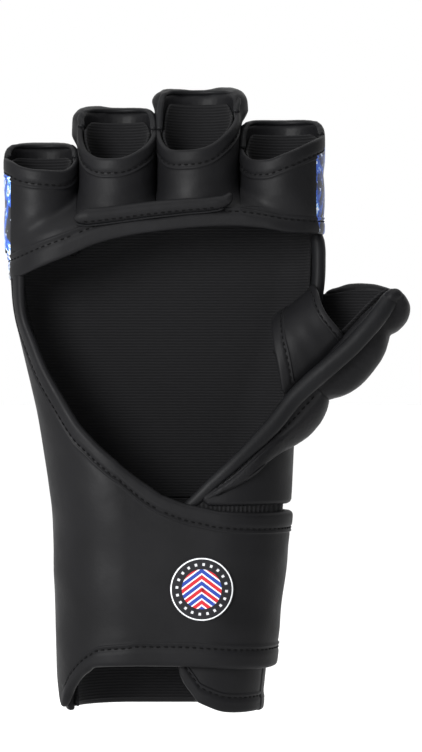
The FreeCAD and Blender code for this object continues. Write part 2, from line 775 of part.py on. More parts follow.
doc.recompute()
broken = [o.Name for o in doc.Objects if set(o.State) & {"Invalid", "Error"}]
assert not broken, f"objects that failed: {broken}"
os.makedirs("parts", exist_ok=True)
for label, solid in kept.items():
    shape = solid.Shape
    assert not shape.isNull() and shape.isValid() and shape.Solids, f"{label} has no good shape"
    assert len(shape.Solids) == 1, f"{label} is in {len(shape.Solids)} pieces"
    shape.exportStep(f"parts/{label}.step")
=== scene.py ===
import math

import bpy
import numpy as np
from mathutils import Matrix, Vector


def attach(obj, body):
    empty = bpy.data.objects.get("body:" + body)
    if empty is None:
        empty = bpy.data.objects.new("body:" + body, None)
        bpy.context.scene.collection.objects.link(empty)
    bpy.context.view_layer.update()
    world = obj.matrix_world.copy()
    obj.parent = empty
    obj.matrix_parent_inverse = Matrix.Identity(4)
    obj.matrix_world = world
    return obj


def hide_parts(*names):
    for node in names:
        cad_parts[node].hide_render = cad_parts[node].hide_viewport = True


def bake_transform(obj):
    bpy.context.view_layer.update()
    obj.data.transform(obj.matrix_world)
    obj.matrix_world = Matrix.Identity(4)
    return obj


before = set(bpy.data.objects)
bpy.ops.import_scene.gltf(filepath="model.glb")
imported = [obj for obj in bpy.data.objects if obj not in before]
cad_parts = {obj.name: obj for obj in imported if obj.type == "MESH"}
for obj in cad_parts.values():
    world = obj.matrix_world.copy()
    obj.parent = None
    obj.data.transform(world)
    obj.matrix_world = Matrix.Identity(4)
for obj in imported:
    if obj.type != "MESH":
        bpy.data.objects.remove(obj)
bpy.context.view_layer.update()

MM = 0.001

# ---------------------------------------------------------------- the glove's walls
# height, then left, right, front and back of the space inside, and of the outside (mm)
STATIONS = np.array([
    (0.0, 35.5, 31.0, 19.0, 23.0, 42.5, 38.0, 26.0, 31.0),
    (75.0, 37.5, 39.0, 18.5, 22.5, 44.5, 46.0, 25.5, 31.0),
    (110.0, 44.0, 42.0, 17.0, 19.5, 50.0, 47.5, 22.0, 30.0),
    (150.0, 55.5, 53.0, 14.5, 14.5, 59.5, 57.0, 18.5, 26.0),
    (192.0, 58.9, 54.5, 13.0, 13.0, 62.0, 57.5, 16.5, 26.0),
    (240.0, 58.9, 54.5, 13.0, 13.0, 62.0, 57.5, 16.5, 26.0),
])
FINE = np.arange(0.0, 241.0, 1.0)
SMOOTH = []
for column in range(1, 9):
    raw = np.interp(FINE, STATIONS[:, 0], STATIONS[:, column])
    SMOOTH.append(np.convolve(np.pad(raw, 14, "edge"), np.hanning(29) / np.hanning(29).sum(), "valid"))

# each finger's middle, bore radius and knuckle line, then the left and right edge of its slab
FINGERS = {
    "little": (-48.3, 10.5, 170.0),
    "ring": (-19.9, 11.3, 187.0),
    "middle": (10.3, 12.2, 189.5),
    "index": (41.7, 12.5, 182.0),
}
SLABS = {
    "little": (-62.1, -34.45), "ring": (-34.45, -5.25),
    "middle": (-5.25, 25.85), "index": (25.85, 57.5),
}
# hem of each sleeve's opening: degrees round the finger from its left side, height
HEMS = {
    "little": ((-90, 205.5), (-56, 203.6), (-30, 201.2), (0, 200.0), (45, 200.2), (90, 205.5)),
    "ring": ((-90, 217.0), (-60, 208.5), (-30, 204.6), (0, 204.2), (43, 208.2), (90, 216.0)),
    "middle": ((-90, 216.0), (-50, 208.4), (-20, 207.2), (15, 208.7), (51, 215.0), (90, 222.5)),
    "index": ((-90, 209.0), (-50, 204.2), (-25, 203.6), (6, 206.2), (44, 210.5), (90, 214.0)),
}
PAD_TOPS = {"little": 210.5, "ring": 224.0, "middle": 231.0, "index": 219.5}


def section(z, depth):
    """Radius, mid-line and the two arc centres of the slot section at a height and depth."""
    z = np.clip(z, 0.0, 240.0)
    v = [np.interp(z, FINE, s) for s in SMOOTH]
    left, right, front, back = (v[i] + depth * (v[i + 4] - v[i]) for i in range(4))
    radius = (front + back) / 2
    return radius, (back - front) / 2, radius - left, right - radius


def skin(p, z, depth):
    """A point of the wall.  p: 0..1 across the front from the little-finger side, 1..2 round
    the thumb side, 2..3 across the back, and below 0 round the little-finger side."""
    p, z = np.broadcast_arrays(np.asarray(p, float), np.asarray(z, float))
    radius, mid, x0, x1 = section(z, depth)
    x, y = np.empty_like(p), np.empty_like(p)
    flat, back = (p >= 0) & (p <= 1), (p >= 2) & (p <= 3)
    right, left = (p > 1) & (p < 2), (p < 0) | (p > 3)
    x[flat], y[flat] = (x0 + p * (x1 - x0))[flat], (mid - radius)[flat]
    x[back], y[back] = (x1 - (p - 2) * (x1 - x0))[back], (mid + radius)[back]
    a = (p - 1.5) * math.pi
    x[right], y[right] = (x1 + radius * np.cos(a))[right], (mid + radius * np.sin(a))[right]
    q = np.where(p < 0, -p, 4 - p) * math.pi  # angle from the front, towards the side
    x[left], y[left] = (x0 - radius * np.sin(q))[left], (mid - radius * np.cos(q))[left]
    return np.stack([x, y, z], -1)


def front_p(x, z, depth=1.0):
    """The p of a point seen from the front."""
    radius, mid, x0, x1 = section(z, depth)
    left = -np.arcsin(np.clip((x0 - x) / radius, 0, 1)) / math.pi
    right = 1 + np.arcsin(np.clip((x - x1) / radius, 0, 1)) / math.pi
    return np.where(x < x0, left, np.where(x > x1, right, (x - x0) / (x1 - x0)))


def side_p(y, z, left, depth=1.0):
    """The p of a point on a side, by its depth y."""
    radius, mid, x0, x1 = section(z, depth)
    lean = np.arcsin(np.clip((y - mid) / radius, -1, 1)) / math.pi
    return -0.5 - lean if left else 1.5 + lean


def smooth_step(x, low=0.0, high=1.0):
    t = np.clip((np.asarray(x, float) - low) / (high - low), 0, 1)
    return t * t * (3 - 2 * t)


def curve(points, t):
    """Monotone smooth interpolation of a table at t."""
    xs, ys = np.array(points, float).T
    slopes = np.diff(ys) / np.diff(xs)
    tangents = np.concatenate([[slopes[0]], (slopes[1:] + slopes[:-1]) / 2, [slopes[-1]]])
    flat = np.concatenate([[False], slopes[1:] * slopes[:-1] <= 0, [False]])
    tangents[flat] = 0
    t = np.clip(np.asarray(t, float), xs[0], xs[-1])
    i = np.clip(np.searchsorted(xs, t, "right") - 1, 0, len(xs) - 2)
    step = xs[i + 1] - xs[i]
    u = (t - xs[i]) / step
    a, b = (1 + 2 * u) * (1 - u) ** 2, u * u * (3 - 2 * u)
    c, d = u * (1 - u) ** 2, u * u * (u - 1)
    return a * ys[i] + b * ys[i + 1] + (c * tangents[i] + d * tangents[i + 1]) * step


def curves(s, rows, at):
    """The same for every column of rows, which belong to s."""
    return np.stack([curve(np.stack([s, column], -1), at) for column in np.transpose(rows)], -1)


def full_turn(count):
    """Evenly spaced angles round a circle."""
    return np.linspace(0, 2 * math.pi, count, endpoint=False)


def nearest(values, value):
    return int(np.argmin(np.abs(values - value)))


def bell(x):
    return np.exp(-(x ** 2))


def run_of(points):
    """How far each point is along the line through them all."""
    return np.concatenate([[0], np.cumsum(np.linalg.norm(np.diff(points, axis=0), axis=1))])


def at_run(at, run, rows):
    """Rows that belong to run, read at other distances by straight interpolation."""
    return np.stack([np.interp(at, run, column) for column in np.transpose(rows)], -1)


def resample(points, count):
    """Count points evenly along a line of straight runs."""
    run = run_of(points)
    return at_run(np.linspace(0, run[-1], count), run, points)


def path(points, count):
    """A smooth line through points, with count points evenly along it."""
    run = run_of(points)
    return resample(curves(run, points, np.linspace(0, run[-1], 400)), count)


def spread(length, near, far, count):
    """Shares of the way across a panel: fixed distances from both edges, even between."""
    near, far = np.array(near, float), np.array(far, float)
    fit = min(1.0, 0.86 * length / max(near[-1] + far[-1], 1e-6))
    near, far = near * fit, far * fit
    inner = np.linspace(near[-1], length - far[-1], count + 2)[1:-1]
    return np.concatenate([near, inner, length - far[::-1]]) / length


HEM_WIDTH = 5.5
HEM_ROWS = (0.0, 0.5, 1.4, 2.6, 3.6, 4.2, 4.7, 5.2, 5.65, 6.0, 6.25, 6.5, 6.8, 7.6)


def hem_rise(d, width=HEM_WIDTH, lift=0.55):
    """How far a folded hem stands out at a distance from the edge: a flat band, a sewn
    groove near its inner side, and a thin ridge beyond."""
    table = ((-1, 0.5), (0.9, 1.0), (3.6, 1.0), (4.4, 0.35), (4.9, 0.05), (5.4, 0.3), (5.9, 0.85),
             (6.25, 0.85), (6.5, 0.0), (6.8, -0.15), (7.6, 0.0), (9, 0.0))
    return lift * curve(table, np.asarray(d, float) * HEM_WIDTH / width)


# ---------------------------------------------------------------- meshes
def link(name, data):
    obj = bpy.data.objects.new(name, data)
    bpy.context.scene.collection.objects.link(obj)
    return obj


def add_object(name, vertices, faces, material):
    """A smooth object from points in millimetres."""
    mesh = bpy.data.meshes.new(name)
    mesh.from_pydata([tuple(v) for v in np.asarray(vertices, float) * MM], [], [tuple(f) for f in faces])
    mesh.update()
    mesh.polygons.foreach_set("use_smooth", [True] * len(mesh.polygons))
    for m in material if isinstance(material, list) else [material]:
        mesh.materials.append(m)
    return link(name, mesh)


def place(piece, body, slot, *nodes, fill=None):
    """Attach a piece to the body it moves with and hide the nodes it stands for; slot (its finish) and fill
    (whether it is a pad) are not used.
    """
    if body:
        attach(piece, body)
    if nodes:
        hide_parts(*nodes)


def join(low, high):
    """Quads between two closed rings of vertex numbers."""
    ends = zip(low, np.roll(low, -1), np.roll(high, -1), high)
    return [tuple(int(number) for number in quad) for quad in ends]


def grid_normals(grid, wrap=False):
    """Unit normals of a grid of points, pointing along du x dv."""
    du = np.roll(grid, -1, 0) - np.roll(grid, 1, 0) if wrap else np.gradient(grid, axis=0)
    n = np.cross(du, np.gradient(grid, axis=1))
    return n / np.maximum(np.linalg.norm(n, axis=-1, keepdims=True), 1e-9)


def raised(grid, rise):
    """A grid moved outwards by a distance at each point."""
    return grid + grid_normals(grid) * rise[..., None]


def shell(name, outer, thickness, material, wrap=False, flat_sides=(), rim=5, bulge=0.9, inner=None):
    """A sheet with a thickness and rounded edges.  outer is a grid of points whose du x dv
    points outwards.  flat_sides ("u0", "u1", "v0", "v1") are closed flat, to butt on a neighbour.
    The mesh is closed; its flat ends have sharp edges, so that they don't darken the face."""
    nu, nv = outer.shape[:2]
    normals = grid_normals(outer, wrap)
    if inner is None:
        inner = outer - normals * np.broadcast_to(thickness, (nu, nv))[..., None]
    vertices = [outer.reshape(-1, 3), inner.reshape(-1, 3)]
    layer = nu * nv
    index = np.arange(layer).reshape(nu, nv)
    faces, ends = [], []
    for i in range(nu if wrap else nu - 1):
        for k in range(nv - 1):
            a, b, c, d = index[i, k], index[(i + 1) % nu, k], index[(i + 1) % nu, k + 1], index[i, k + 1]
            faces.append((a, b, c, d))
            faces.append((d + layer, c + layer, b + layer, a + layer))
    count = 2 * layer
    low_edge, high_edge = [(i, 0) for i in range(nu)], [(i, nv - 1) for i in reversed(range(nu))]
    if wrap:
        loops = [low_edge, high_edge]
    else:
        right_edge = [(nu - 1, k) for k in range(1, nv - 1)]
        left_edge = [(0, k) for k in reversed(range(1, nv - 1))]
        loops = [low_edge + right_edge + high_edge + left_edge]
    for loop in loops:
        rows, columns = np.transpose(loop)
        on_u = np.where(rows == 0, "u0", np.where(rows == nu - 1, "u1", ""))
        if wrap:
            on_u[:] = ""
        on_v = np.where(columns == 0, "v0", np.where(columns == nv - 1, "v1", ""))
        edge_o, edge_i = outer[rows, columns], inner[rows, columns]
        middle, half = (edge_o + edge_i) / 2, (edge_o - edge_i) / 2
        away = np.cross(np.roll(edge_o, -1, 0) - np.roll(edge_o, 1, 0), normals[rows, columns])
        away /= np.maximum(np.linalg.norm(away, axis=1, keepdims=True), 1e-9)
        butts = np.isin(on_u, flat_sides) | np.isin(on_v, flat_sides)
        away[butts] = 0
        for t in np.flatnonzero(butts & (on_u != "") & (on_v != "") & ~np.isin(on_v, flat_sides)):
            i, k = loop[t]
            away[t] = outer[i, k] - outer[i, 1 if k == 0 else nv - 2]
            away[t] /= max(np.linalg.norm(away[t]), 1e-9)
        size = np.linalg.norm(half, axis=1, keepdims=True)
        rings = [index[rows, columns]]
        for a in math.pi * np.arange(1, rim) / rim:
            vertices.append(middle + half * math.cos(a) + away * size * math.sin(a) * bulge)
            rings.append(np.arange(count, count + len(loop)))
            count += len(loop)
        rings.append(rings[0] + layer)
        between = butts & np.roll(butts, -1)
        for low, high in zip(rings, rings[1:]):
            for quad, butt in zip(join(low, high), between):
                (ends if butt else faces).append((quad[1], quad[0], quad[3], quad[2]))
    made = add_object(name, np.concatenate(vertices), faces + ends, material)
    for polygon in made.data.polygons[len(faces):]:
        for corner in polygon.loop_indices:
            made.data.edges[made.data.loops[corner].edge_index].use_edge_sharp = True
    return made


def cloth(grid, wrap=False):
    """Close a sheet's grid round when wrap is set; nothing else is done with it."""
    if wrap:
        grid = np.concatenate([grid, grid[:1]])


def tube(name, centres, radii, material, sides=16, up=(0, -1, 0)):
    """A roll along a line: radii is (across, out) at each point; its ends come to a low point."""
    tangent = np.gradient(centres, axis=0)
    tangent /= np.linalg.norm(tangent, axis=1, keepdims=True)
    out = np.array(up, float) - tangent * (tangent @ np.array(up, float))[:, None]
    out /= np.linalg.norm(out, axis=1, keepdims=True)
    across = np.cross(tangent, out)
    angles = full_turn(sides)
    radii = np.broadcast_to(np.asarray(radii, float), (len(centres), 2))
    wide, high = radii[:, :1] * np.cos(angles), radii[:, 1:] * np.sin(angles)
    walls = centres[:, None] + across[:, None] * wide[..., None] + out[:, None] * high[..., None]
    first = centres[0] - tangent[0] * radii[0].min() * 0.4
    last = centres[-1] + tangent[-1] * radii[-1].min() * 0.4
    rings = np.arange(len(centres) * sides).reshape(-1, sides)
    faces = [quad for low, high in zip(rings, rings[1:]) for quad in join(low, high)]
    for start, end in zip(range(sides), np.roll(range(sides), -1)):
        faces.append((rings.size, end, start))
        faces.append((rings.size + 1, rings[-1, start], rings[-1, end]))
    return add_object(name, np.concatenate([*walls, [first, last]]), faces, material)


STITCH_ENDS = ((-0.5, 0.45), (-0.36, 0.95), (0.0, 1.0), (0.36, 0.95), (0.5, 0.45))  # along, size
STITCH_SIDES = 6


def dashes(lines, pitch=2.6, length=1.55, width=0.62, height=0.45, sink=0.05):
    """Stitches along lines.  Each line is (points, normals); returns vertices and faces."""
    vertices, faces = [], []
    for points, normals in lines:
        run = run_of(points)
        for middle in np.arange(pitch * 0.6, run[-1] - pitch * 0.4, pitch):
            start, centre, end = at_run(middle + np.array([-0.5, 0, 0.5]) * length, run, points)
            t = (end - start) / np.linalg.norm(end - start)
            n = at_run(middle, run, normals)
            n -= t * (n @ t)
            n /= np.linalg.norm(n)
            side = np.cross(t, n)
            rings = np.arange(len(STITCH_ENDS) * STITCH_SIDES).reshape(-1, STITCH_SIDES) + len(vertices)
            for shift, size in STITCH_ENDS:
                for a in full_turn(STITCH_SIDES):
                    over = side * math.cos(a) * size * width / 2 + n * math.sin(a) * size * height
                    vertices.append(centre + t * shift * length - n * sink + over)
            faces += [quad for low, high in zip(rings, rings[1:]) for quad in join(low, high)]
            faces += [tuple(rings[0][::-1]), tuple(rings[-1])]
    return vertices, faces


def sew(name, lines, body=None):
    """A piece of stitches along lines, attached to a body if one is given."""
    thread = add_object(name, *dashes(lines), THREAD)
    place(thread, body, None)
    return thread


def offset_line(grid, distance, from_end=False):
    """The line on a grid at a distance from its v0 edge (or v1), with its normals."""
    normals = grid_normals(grid)
    if from_end:
        grid, normals = grid[:, ::-1], normals[:, ::-1]
    points, outs = [], []
    for d, row, n in zip(np.broadcast_to(distance, len(grid)), grid, normals):
        points.append(at_run(d, run_of(row), row))
        outs.append(at_run(d, run_of(row), n))
    return np.array(points), np.array(outs)


# ---------------------------------------------------------------- materials
def shader(name, roughness, **inputs):
    """A new material: its node tree and its Principled shader."""
    material = bpy.data.materials.new(name)
    material.use_nodes = True
    tree = material.node_tree
    principled = tree.nodes["Principled BSDF"]
    principled.inputs["Roughness"].default_value = roughness
    for key, value in inputs.items():
        principled.inputs[key.replace("_", " ")].default_value = value
    return material, tree, principled


def node(tree, kind, inputs=None, **settings):
    made = tree.nodes.new(kind)
    for key, value in settings.items():
        setattr(made, key, value)
    for key, value in (inputs or {}).items():
        if isinstance(value, bpy.types.NodeSocket):
            tree.links.new(value, made.inputs[key])
        else:
            made.inputs[key].default_value = value
    return made


def own_place(tree):
    return node(tree, "ShaderNodeTexCoord").outputs["Object"]


def noise_at(tree, scale, detail=2.0, stretch=(1, 1, 1), rough=0.5):
    mapping = node(tree, "ShaderNodeMapping", {"Vector": own_place(tree), "Scale": stretch})
    inputs = {"Vector": mapping.outputs["Vector"], "Scale": scale, "Detail": detail, "Roughness": rough}
    return node(tree, "ShaderNodeTexNoise", inputs).outputs["Fac"]


def ramp(tree, value, stops, interpolation="LINEAR"):
    made = node(tree, "ShaderNodeValToRGB", {"Fac": value})
    made.color_ramp.interpolation = interpolation
    elements = made.color_ramp.elements
    while len(elements) < len(stops):
        elements.new(0.5)
    for element, (position, colour) in zip(elements, stops):
        element.position = position
        element.color = (*colour, 1.0)
    return made.outputs["Color"]


def mix_colour(tree, share, a, b):
    a, b = (c if isinstance(c, bpy.types.NodeSocket) else (*c, 1.0) for c in (a, b))
    return node(tree, "ShaderNodeMix", {0: share, 6: a, 7: b}, data_type="RGBA").outputs[2]


def tones(colour, *shares):
    return [[c * share for c in colour] for share in shares]


def bumps(tree, principled, layers):
    """Bump nodes in a chain: each layer is (height, strength, distance)."""
    normal = None
    for height, strength, distance in layers:
        inputs = {"Height": height, "Strength": strength, "Distance": distance}
        if normal is not None:
            inputs["Normal"] = normal
        normal = node(tree, "ShaderNodeBump", inputs).outputs["Normal"]
    tree.links.new(normal, principled.inputs["Normal"])


def leather(name, colour, roughness=0.5, crease=0.15, colour_socket=None, gloss=0.078):
    """Satin synthetic leather: fine pebbled grain, soft creases, slightly uneven colour."""
    material, tree, principled = shader(name, roughness, Specular_IOR_Level=gloss)
    dark, light = tones(colour, 0.8, 1.25)
    if colour_socket is None:
        colour_out = ramp(tree, noise_at(tree, 38.0, 3.0), [(0.3, dark), (0.7, light)])
    else:
        colour_out = colour_socket(tree)
    tree.links.new(colour_out, principled.inputs["Base Color"])
    inputs = {"From Min": 0.3, "From Max": 0.7, "To Min": roughness - 0.05, "To Max": roughness + 0.06}
    polish = node(tree, "ShaderNodeMapRange", {"Value": noise_at(tree, 120.0, 3.0), **inputs})
    tree.links.new(polish.outputs["Result"], principled.inputs["Roughness"])
    cells = {"Vector": own_place(tree), "Scale": 1150.0}
    pebble = node(tree, "ShaderNodeTexVoronoi", cells, feature="SMOOTH_F1").outputs["Distance"]
    inputs = {0: noise_at(tree, 2600.0, 2.0), 1: 0.4, 2: pebble}
    grain = node(tree, "ShaderNodeMath", inputs, operation="MULTIPLY_ADD").outputs[0]
    bumps(tree, principled, [
        (noise_at(tree, 70.0, 3.0), crease, 0.0012),
        (noise_at(tree, 260.0, 2.0, (1.0, 1.0, 1.8)), 0.16, 0.0003),
        (grain, 0.22, 0.00012),
    ])
    return material


def knit(name, colour, pitch=0.0011, strength=0.6, direction="Z"):
    """Ribbed lining cloth: fine ribs across, with the threads of the knit along them, and painted shade in the
    troughs of the ribs.
    """
    finish = {"Specular_IOR_Level": 0.06, "Sheen_Weight": 0.02, "Sheen_Roughness": 0.5}
    material, tree, principled = shader(name, 0.85, **finish)
    wave = {"Vector": own_place(tree), "Scale": 2 * math.pi / (20 * pitch), "Distortion": 0.6, "Detail": 1.0}
    ribs = node(tree, "ShaderNodeTexWave", wave, bands_direction=direction).outputs["Fac"]
    # painted shade: the base colour follows the ribs, darker in their troughs and lighter on their crests
    dark, light = tones(colour, 0.65, 1.25)
    tree.links.new(ramp(tree, ribs, [(0.15, dark), (0.85, light)]), principled.inputs["Base Color"])
    thread = noise_at(tree, 1500.0, 2.0, (1, 1, 0.3))
    bumps(tree, principled, [(ribs, strength, 0.0004), (thread, 0.4, 0.0002)])
    return material


def print_colour(tree):
    """An abstract print: torn patches of blues and white on black, with fine flecks."""
    warp = noise_at(tree, 55.0, 6.0, (1.0, 1.0, 0.55), 0.72)
    black, navy, blue = (0.01, 0.011, 0.014), (0.01, 0.024, 0.1), (0.015, 0.065, 0.34)
    pale, white = (0.14, 0.32, 0.66), (0.62, 0.65, 0.68)
    stops = [(0.0, black), (0.465, navy), (0.49, blue), (0.54, pale), (0.56, white), (0.585, black)]
    patches = ramp(tree, warp, stops, "CONSTANT")
    fleck = ramp(tree, noise_at(tree, 420.0, 3.0), [(0.0, (0, 0, 0)), (0.66, (1, 1, 1))], "CONSTANT")
    return mix_colour(tree, fleck, patches, (0.42, 0.48, 0.6))


def fuzzy(name, colour, scale, strength):
    """Hook or loop tape: a dense pile."""
    material, tree, principled = shader(name, 0.9, Specular_IOR_Level=0.15, Sheen_Weight=0.1)
    pile = node(tree, "ShaderNodeTexVoronoi", {"Vector": own_place(tree), "Scale": scale}).outputs["Distance"]
    dark, light = tones(colour, 0.4, 1.8)
    tree.links.new(ramp(tree, pile, [(0.1, light), (0.7, dark)]), principled.inputs["Base Color"])
    bumps(tree, principled, [(pile, strength, 0.0006), (noise_at(tree, 900.0, 3.0), 0.5, 0.0004)])
    return material


def badge_colour(tree):
    """The badge's face: white rim, dark band with a ring of marks, chevrons in the middle."""
    def work(operation, a, b=0.0):
        return node(tree, "ShaderNodeMath", {0: a, 1: b}, operation=operation).outputs[0]

    def near(value, middle, reach):
        return work("LESS_THAN", work("ABSOLUTE", work("SUBTRACT", value, middle)), reach)

    parts = node(tree, "ShaderNodeSeparateXYZ", {"Vector": own_place(tree)}).outputs
    x, z = (work("SUBTRACT", parts[axis], middle * MM) for axis, middle in zip("XZ", BADGE))
    x, z = work("MULTIPLY", x, 1 / MM), work("MULTIPLY", z, 1 / MM)
    radius = work("SQRT", work("ADD", work("MULTIPLY", x, x), work("MULTIPLY", z, z)))
    white, black = (0.55, 0.56, 0.57), (0.012, 0.012, 0.014)
    red, blue = (0.33, 0.018, 0.024), (0.018, 0.04, 0.21)
    rise = work("ADD", z, work("MULTIPLY", work("ABSOLUTE", x), 0.75))
    bands = work("FRACT", work("DIVIDE", work("ADD", rise, 40.0), 4.6))
    chevrons = ramp(tree, bands, [(0.0, blue), (0.36, white), (0.5, red), (0.86, white)], "CONSTANT")
    beat = work("SINE", work("MULTIPLY", work("ARCTAN2", x, z), 20.0))
    marks = work("MULTIPLY", work("GREATER_THAN", beat, 0.55), near(radius, 9.1, 0.5))
    band = mix_colour(tree, marks, black, (0.42, 0.42, 0.44))
    outer = mix_colour(tree, near(radius, 11.25, 0.22), band, white)
    return mix_colour(tree, work("GREATER_THAN", radius, 7.3), chevrons, outer)


BADGE = (11.8, 46.2, 11.9)  # middle across and up, and radius
LEATHER = leather("black_leather", (0.0048, 0.0048, 0.0053))
TRIM = leather("trim_leather", (0.0046, 0.0047, 0.0052), 0.48, 0.12)
PADDED = leather("pad_leather", (0.0042, 0.0042, 0.0047), 0.5, 0.2, gloss=0.08)
PRINT = leather("printed_leather", (0.02, 0.05, 0.2), 0.42, 0.2, print_colour, 0.3)
LINING = knit("ribbed_lining", (0.0062, 0.0062, 0.0067), strength=0.35)
ELASTIC = knit("elastic_web", (0.008, 0.008, 0.0085), 0.0016, 0.8, "X")
LOOP = fuzzy("loop_pile", (0.012, 0.012, 0.012), 1300.0, 0.8)
HOOK = fuzzy("hook_tape", (0.02, 0.02, 0.021), 900.0, 1.0)
RUBBER = leather("moulded_rubber", (0.02, 0.021, 0.023), 0.6, 0.1)
THREAD = knit("stitching", (0.0016, 0.0016, 0.0018), 0.0004, 0.5, "X")
BADGE_PRINT = leather("badge_print", (0.5, 0.5, 0.5), 0.35, 0.02, badge_colour)


# ---------------------------------------------------------------- strap and side panel
def ribbon(keys, count, depth, rows):
    """A panel between two edges.  Each key is (edge p, z, far edge p, z); the grid's v runs
    from the far edge to the near one, and rows gives shares of the way for a length."""
    line = curves(np.arange(len(keys)), keys, np.linspace(0, len(keys) - 1, count))
    grid, fine = [], np.linspace(0, 1, 60)
    for p_edge, z_edge, p_far, z_far in line:
        p, z = p_far + (p_edge - p_far) * fine, z_far + (z_edge - z_far) * fine
        run = run_of(skin(p, z, depth))
        share = np.interp(rows(run[-1]) * run[-1], run, fine)
        grid.append(skin(p_far + (p_edge - p_far) * share, z_far + (z_edge - z_far) * share, depth))
    return np.array(grid)


def front_key(x, z, far_x, far_z):
    """A ribbon's key between two points of the front."""
    return front_p(x, z), z, front_p(far_x, far_z), far_z


def side_key(y, z, far_y, far_z):
    """A ribbon's key between two points of the thumb side."""
    return side_p(y, z, False), z, side_p(far_y, far_z, False), far_z


def distances(grid):
    """For each point of a grid, how far it is from the v0 and v1 edges along its row."""
    steps = np.linalg.norm(np.diff(grid, axis=1), axis=-1)
    run = np.concatenate([np.zeros((len(grid), 1)), np.cumsum(steps, axis=1)], axis=1)
    return run, run[:, -1:] - run


WINDOW = (
    (-56.6, 161.5), (-55.9, 147), (-52.2, 136.9), (-48.5, 128.0), (-44.8, 121.4), (-41.3, 115.8),
    (-38.1, 110.6), (-34.6, 105.6), (-30.2, 101.0), (-25, 96.2), (-19, 91.2), (-13, 86.4), (-7.6, 82.6),
    (-3, 79.6),
)
SIDE_Z = (161.5, 142, 124, 106, 88, 70, 50, 28)
HEM_LOW = ((-42.1, 8.0), (-40.6, 2.4), (-37.2, 9.6), (-31.5, 16.2), (-22.5, 18.9), (-3, 19.1))
CUT = 13  # the key where the strap's own piece takes over, over flat leather


def strap_keys():
    keys = []
    for (x, z), side in zip(WINDOW, SIDE_Z):
        keys.append((front_p(x, z), z, side_p(6.0, side, True), side))
    for (x, z), (low_x, low_z) in zip(WINDOW[len(SIDE_Z):], HEM_LOW):
        keys.append(front_key(x, z, low_x, low_z))
    for x, z, low in ((5.2, 76.4, 19.0), (13, 74.7, 18.6), (22, 73.3, 17.9), (31, 72.8, 17.4)):
        keys.append(front_key(x, z, x, low))
    for p in (1.3, 1.5, 1.7, 1.9, 2.1, 2.35, 2.6, 2.85):
        keys.append((p, 72.6, p, 17.2))
    return keys


def make_strap():
    per_key = 7
    keys = strap_keys()
    rows = lambda length: spread(length, [d * 1.2 for d in HEM_ROWS], HEM_ROWS, 26)
    grid = ribbon(keys, (len(keys) - 1) * per_key + 1, 0.97, rows)
    low, high = distances(grid)
    hem_from = smooth_step(np.arange(len(grid)) / per_key, 8.6, 9.6)[:, None]
    rise = hem_rise(high, 5.5) + hem_rise(low, 6.6) * hem_from
    normals = grid_normals(grid)
    outer = grid + normals * rise[..., None]
    wrinkle = 0.25 * np.sin(grid[..., 2] * 0.21 + grid[..., 0] * 0.07)
    outer += normals * (wrinkle * smooth_step(low, 8, 16) * smooth_step(high, 8, 16))[..., None]
    inner = grid - normals * 2.6
    cut = CUT * per_key
    side = slice(cut + 1)
    wrap = shell("side_and_wrap", outer[side], 0, LEATHER, inner=inner[side], flat_sides=("u0", "u1"))
    strap = shell("wrist_strap", outer[cut:], 0, LEATHER, inner=inner[cut:], flat_sides=("u0",))
    place(wrap, None, "black_leather", "side_panel", "side_panel_foam", fill=0.4)
    place(strap, None, "black_leather", "strap_front", "strap_tail")
    cloth(outer[cut:])
    top, n_top = offset_line(outer, 5.0, True)
    bottom, n_bottom = offset_line(outer, 6.0)
    start = int(9.4 * per_key)
    lines = [(top[side], n_top[side]), (bottom[start : cut + 1], n_bottom[start : cut + 1])]
    wrap_thread = sew("wrap_stitches", lines)
    strap_thread = sew("strap_stitches", [(top[cut:], n_top[cut:]), (bottom[cut:], n_bottom[cut:])])
    for on_wrap, on_strap in ((wrap, strap), (wrap_thread, strap_thread)):
        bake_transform(on_wrap)
        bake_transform(on_strap)


def panel(name, p_range, z_range, depth, thickness, material, body, old, slot, counts=(40, 30), hem=False):
    """A plain panel of the wall between two p and two heights, either of which may vary.  It
    stands for the old node."""
    u, v = np.linspace(0, 1, counts[0])[:, None], np.linspace(0, 1, counts[1])[None, :]
    p_low, p_high = (np.broadcast_to(np.asarray(p, float), (1, counts[1])) for p in p_range)
    z_low, z_high = (np.asarray(z, float).reshape(-1, 1) for z in z_range)
    grid = skin(p_low + (p_high - p_low) * u, z_low + (z_high - z_low) * v, depth)
    if hem:
        grid = raised(grid, hem_rise(distances(grid)[0]))
    made = shell(name, grid, thickness, material)
    place(made, body, slot, old)
    if material is not RUBBER and np.linalg.norm(grid[0, -1] - grid[0, 0]) > SHORTEST_SHEET:
        cloth(grid)
    return grid


SHORTEST_SHEET = 10.0
UNDERLAP_EDGE = (  # x along the top, then x and height of the free edge below it
    (4.2, 3.4, 50), (6, 3.3, 36), (8, 3.3, 25), (10, 3.6, 17.5), (13, 5.4, 12.2), (17, 8.9, 7.2),
    (21, 14.3, 3.6), (26, 22.0, 1.3), (32, 32.0, 0.7),
)
UNDERLAP_TOP, UNDERLAP_FOOT = 59.5, 0.7


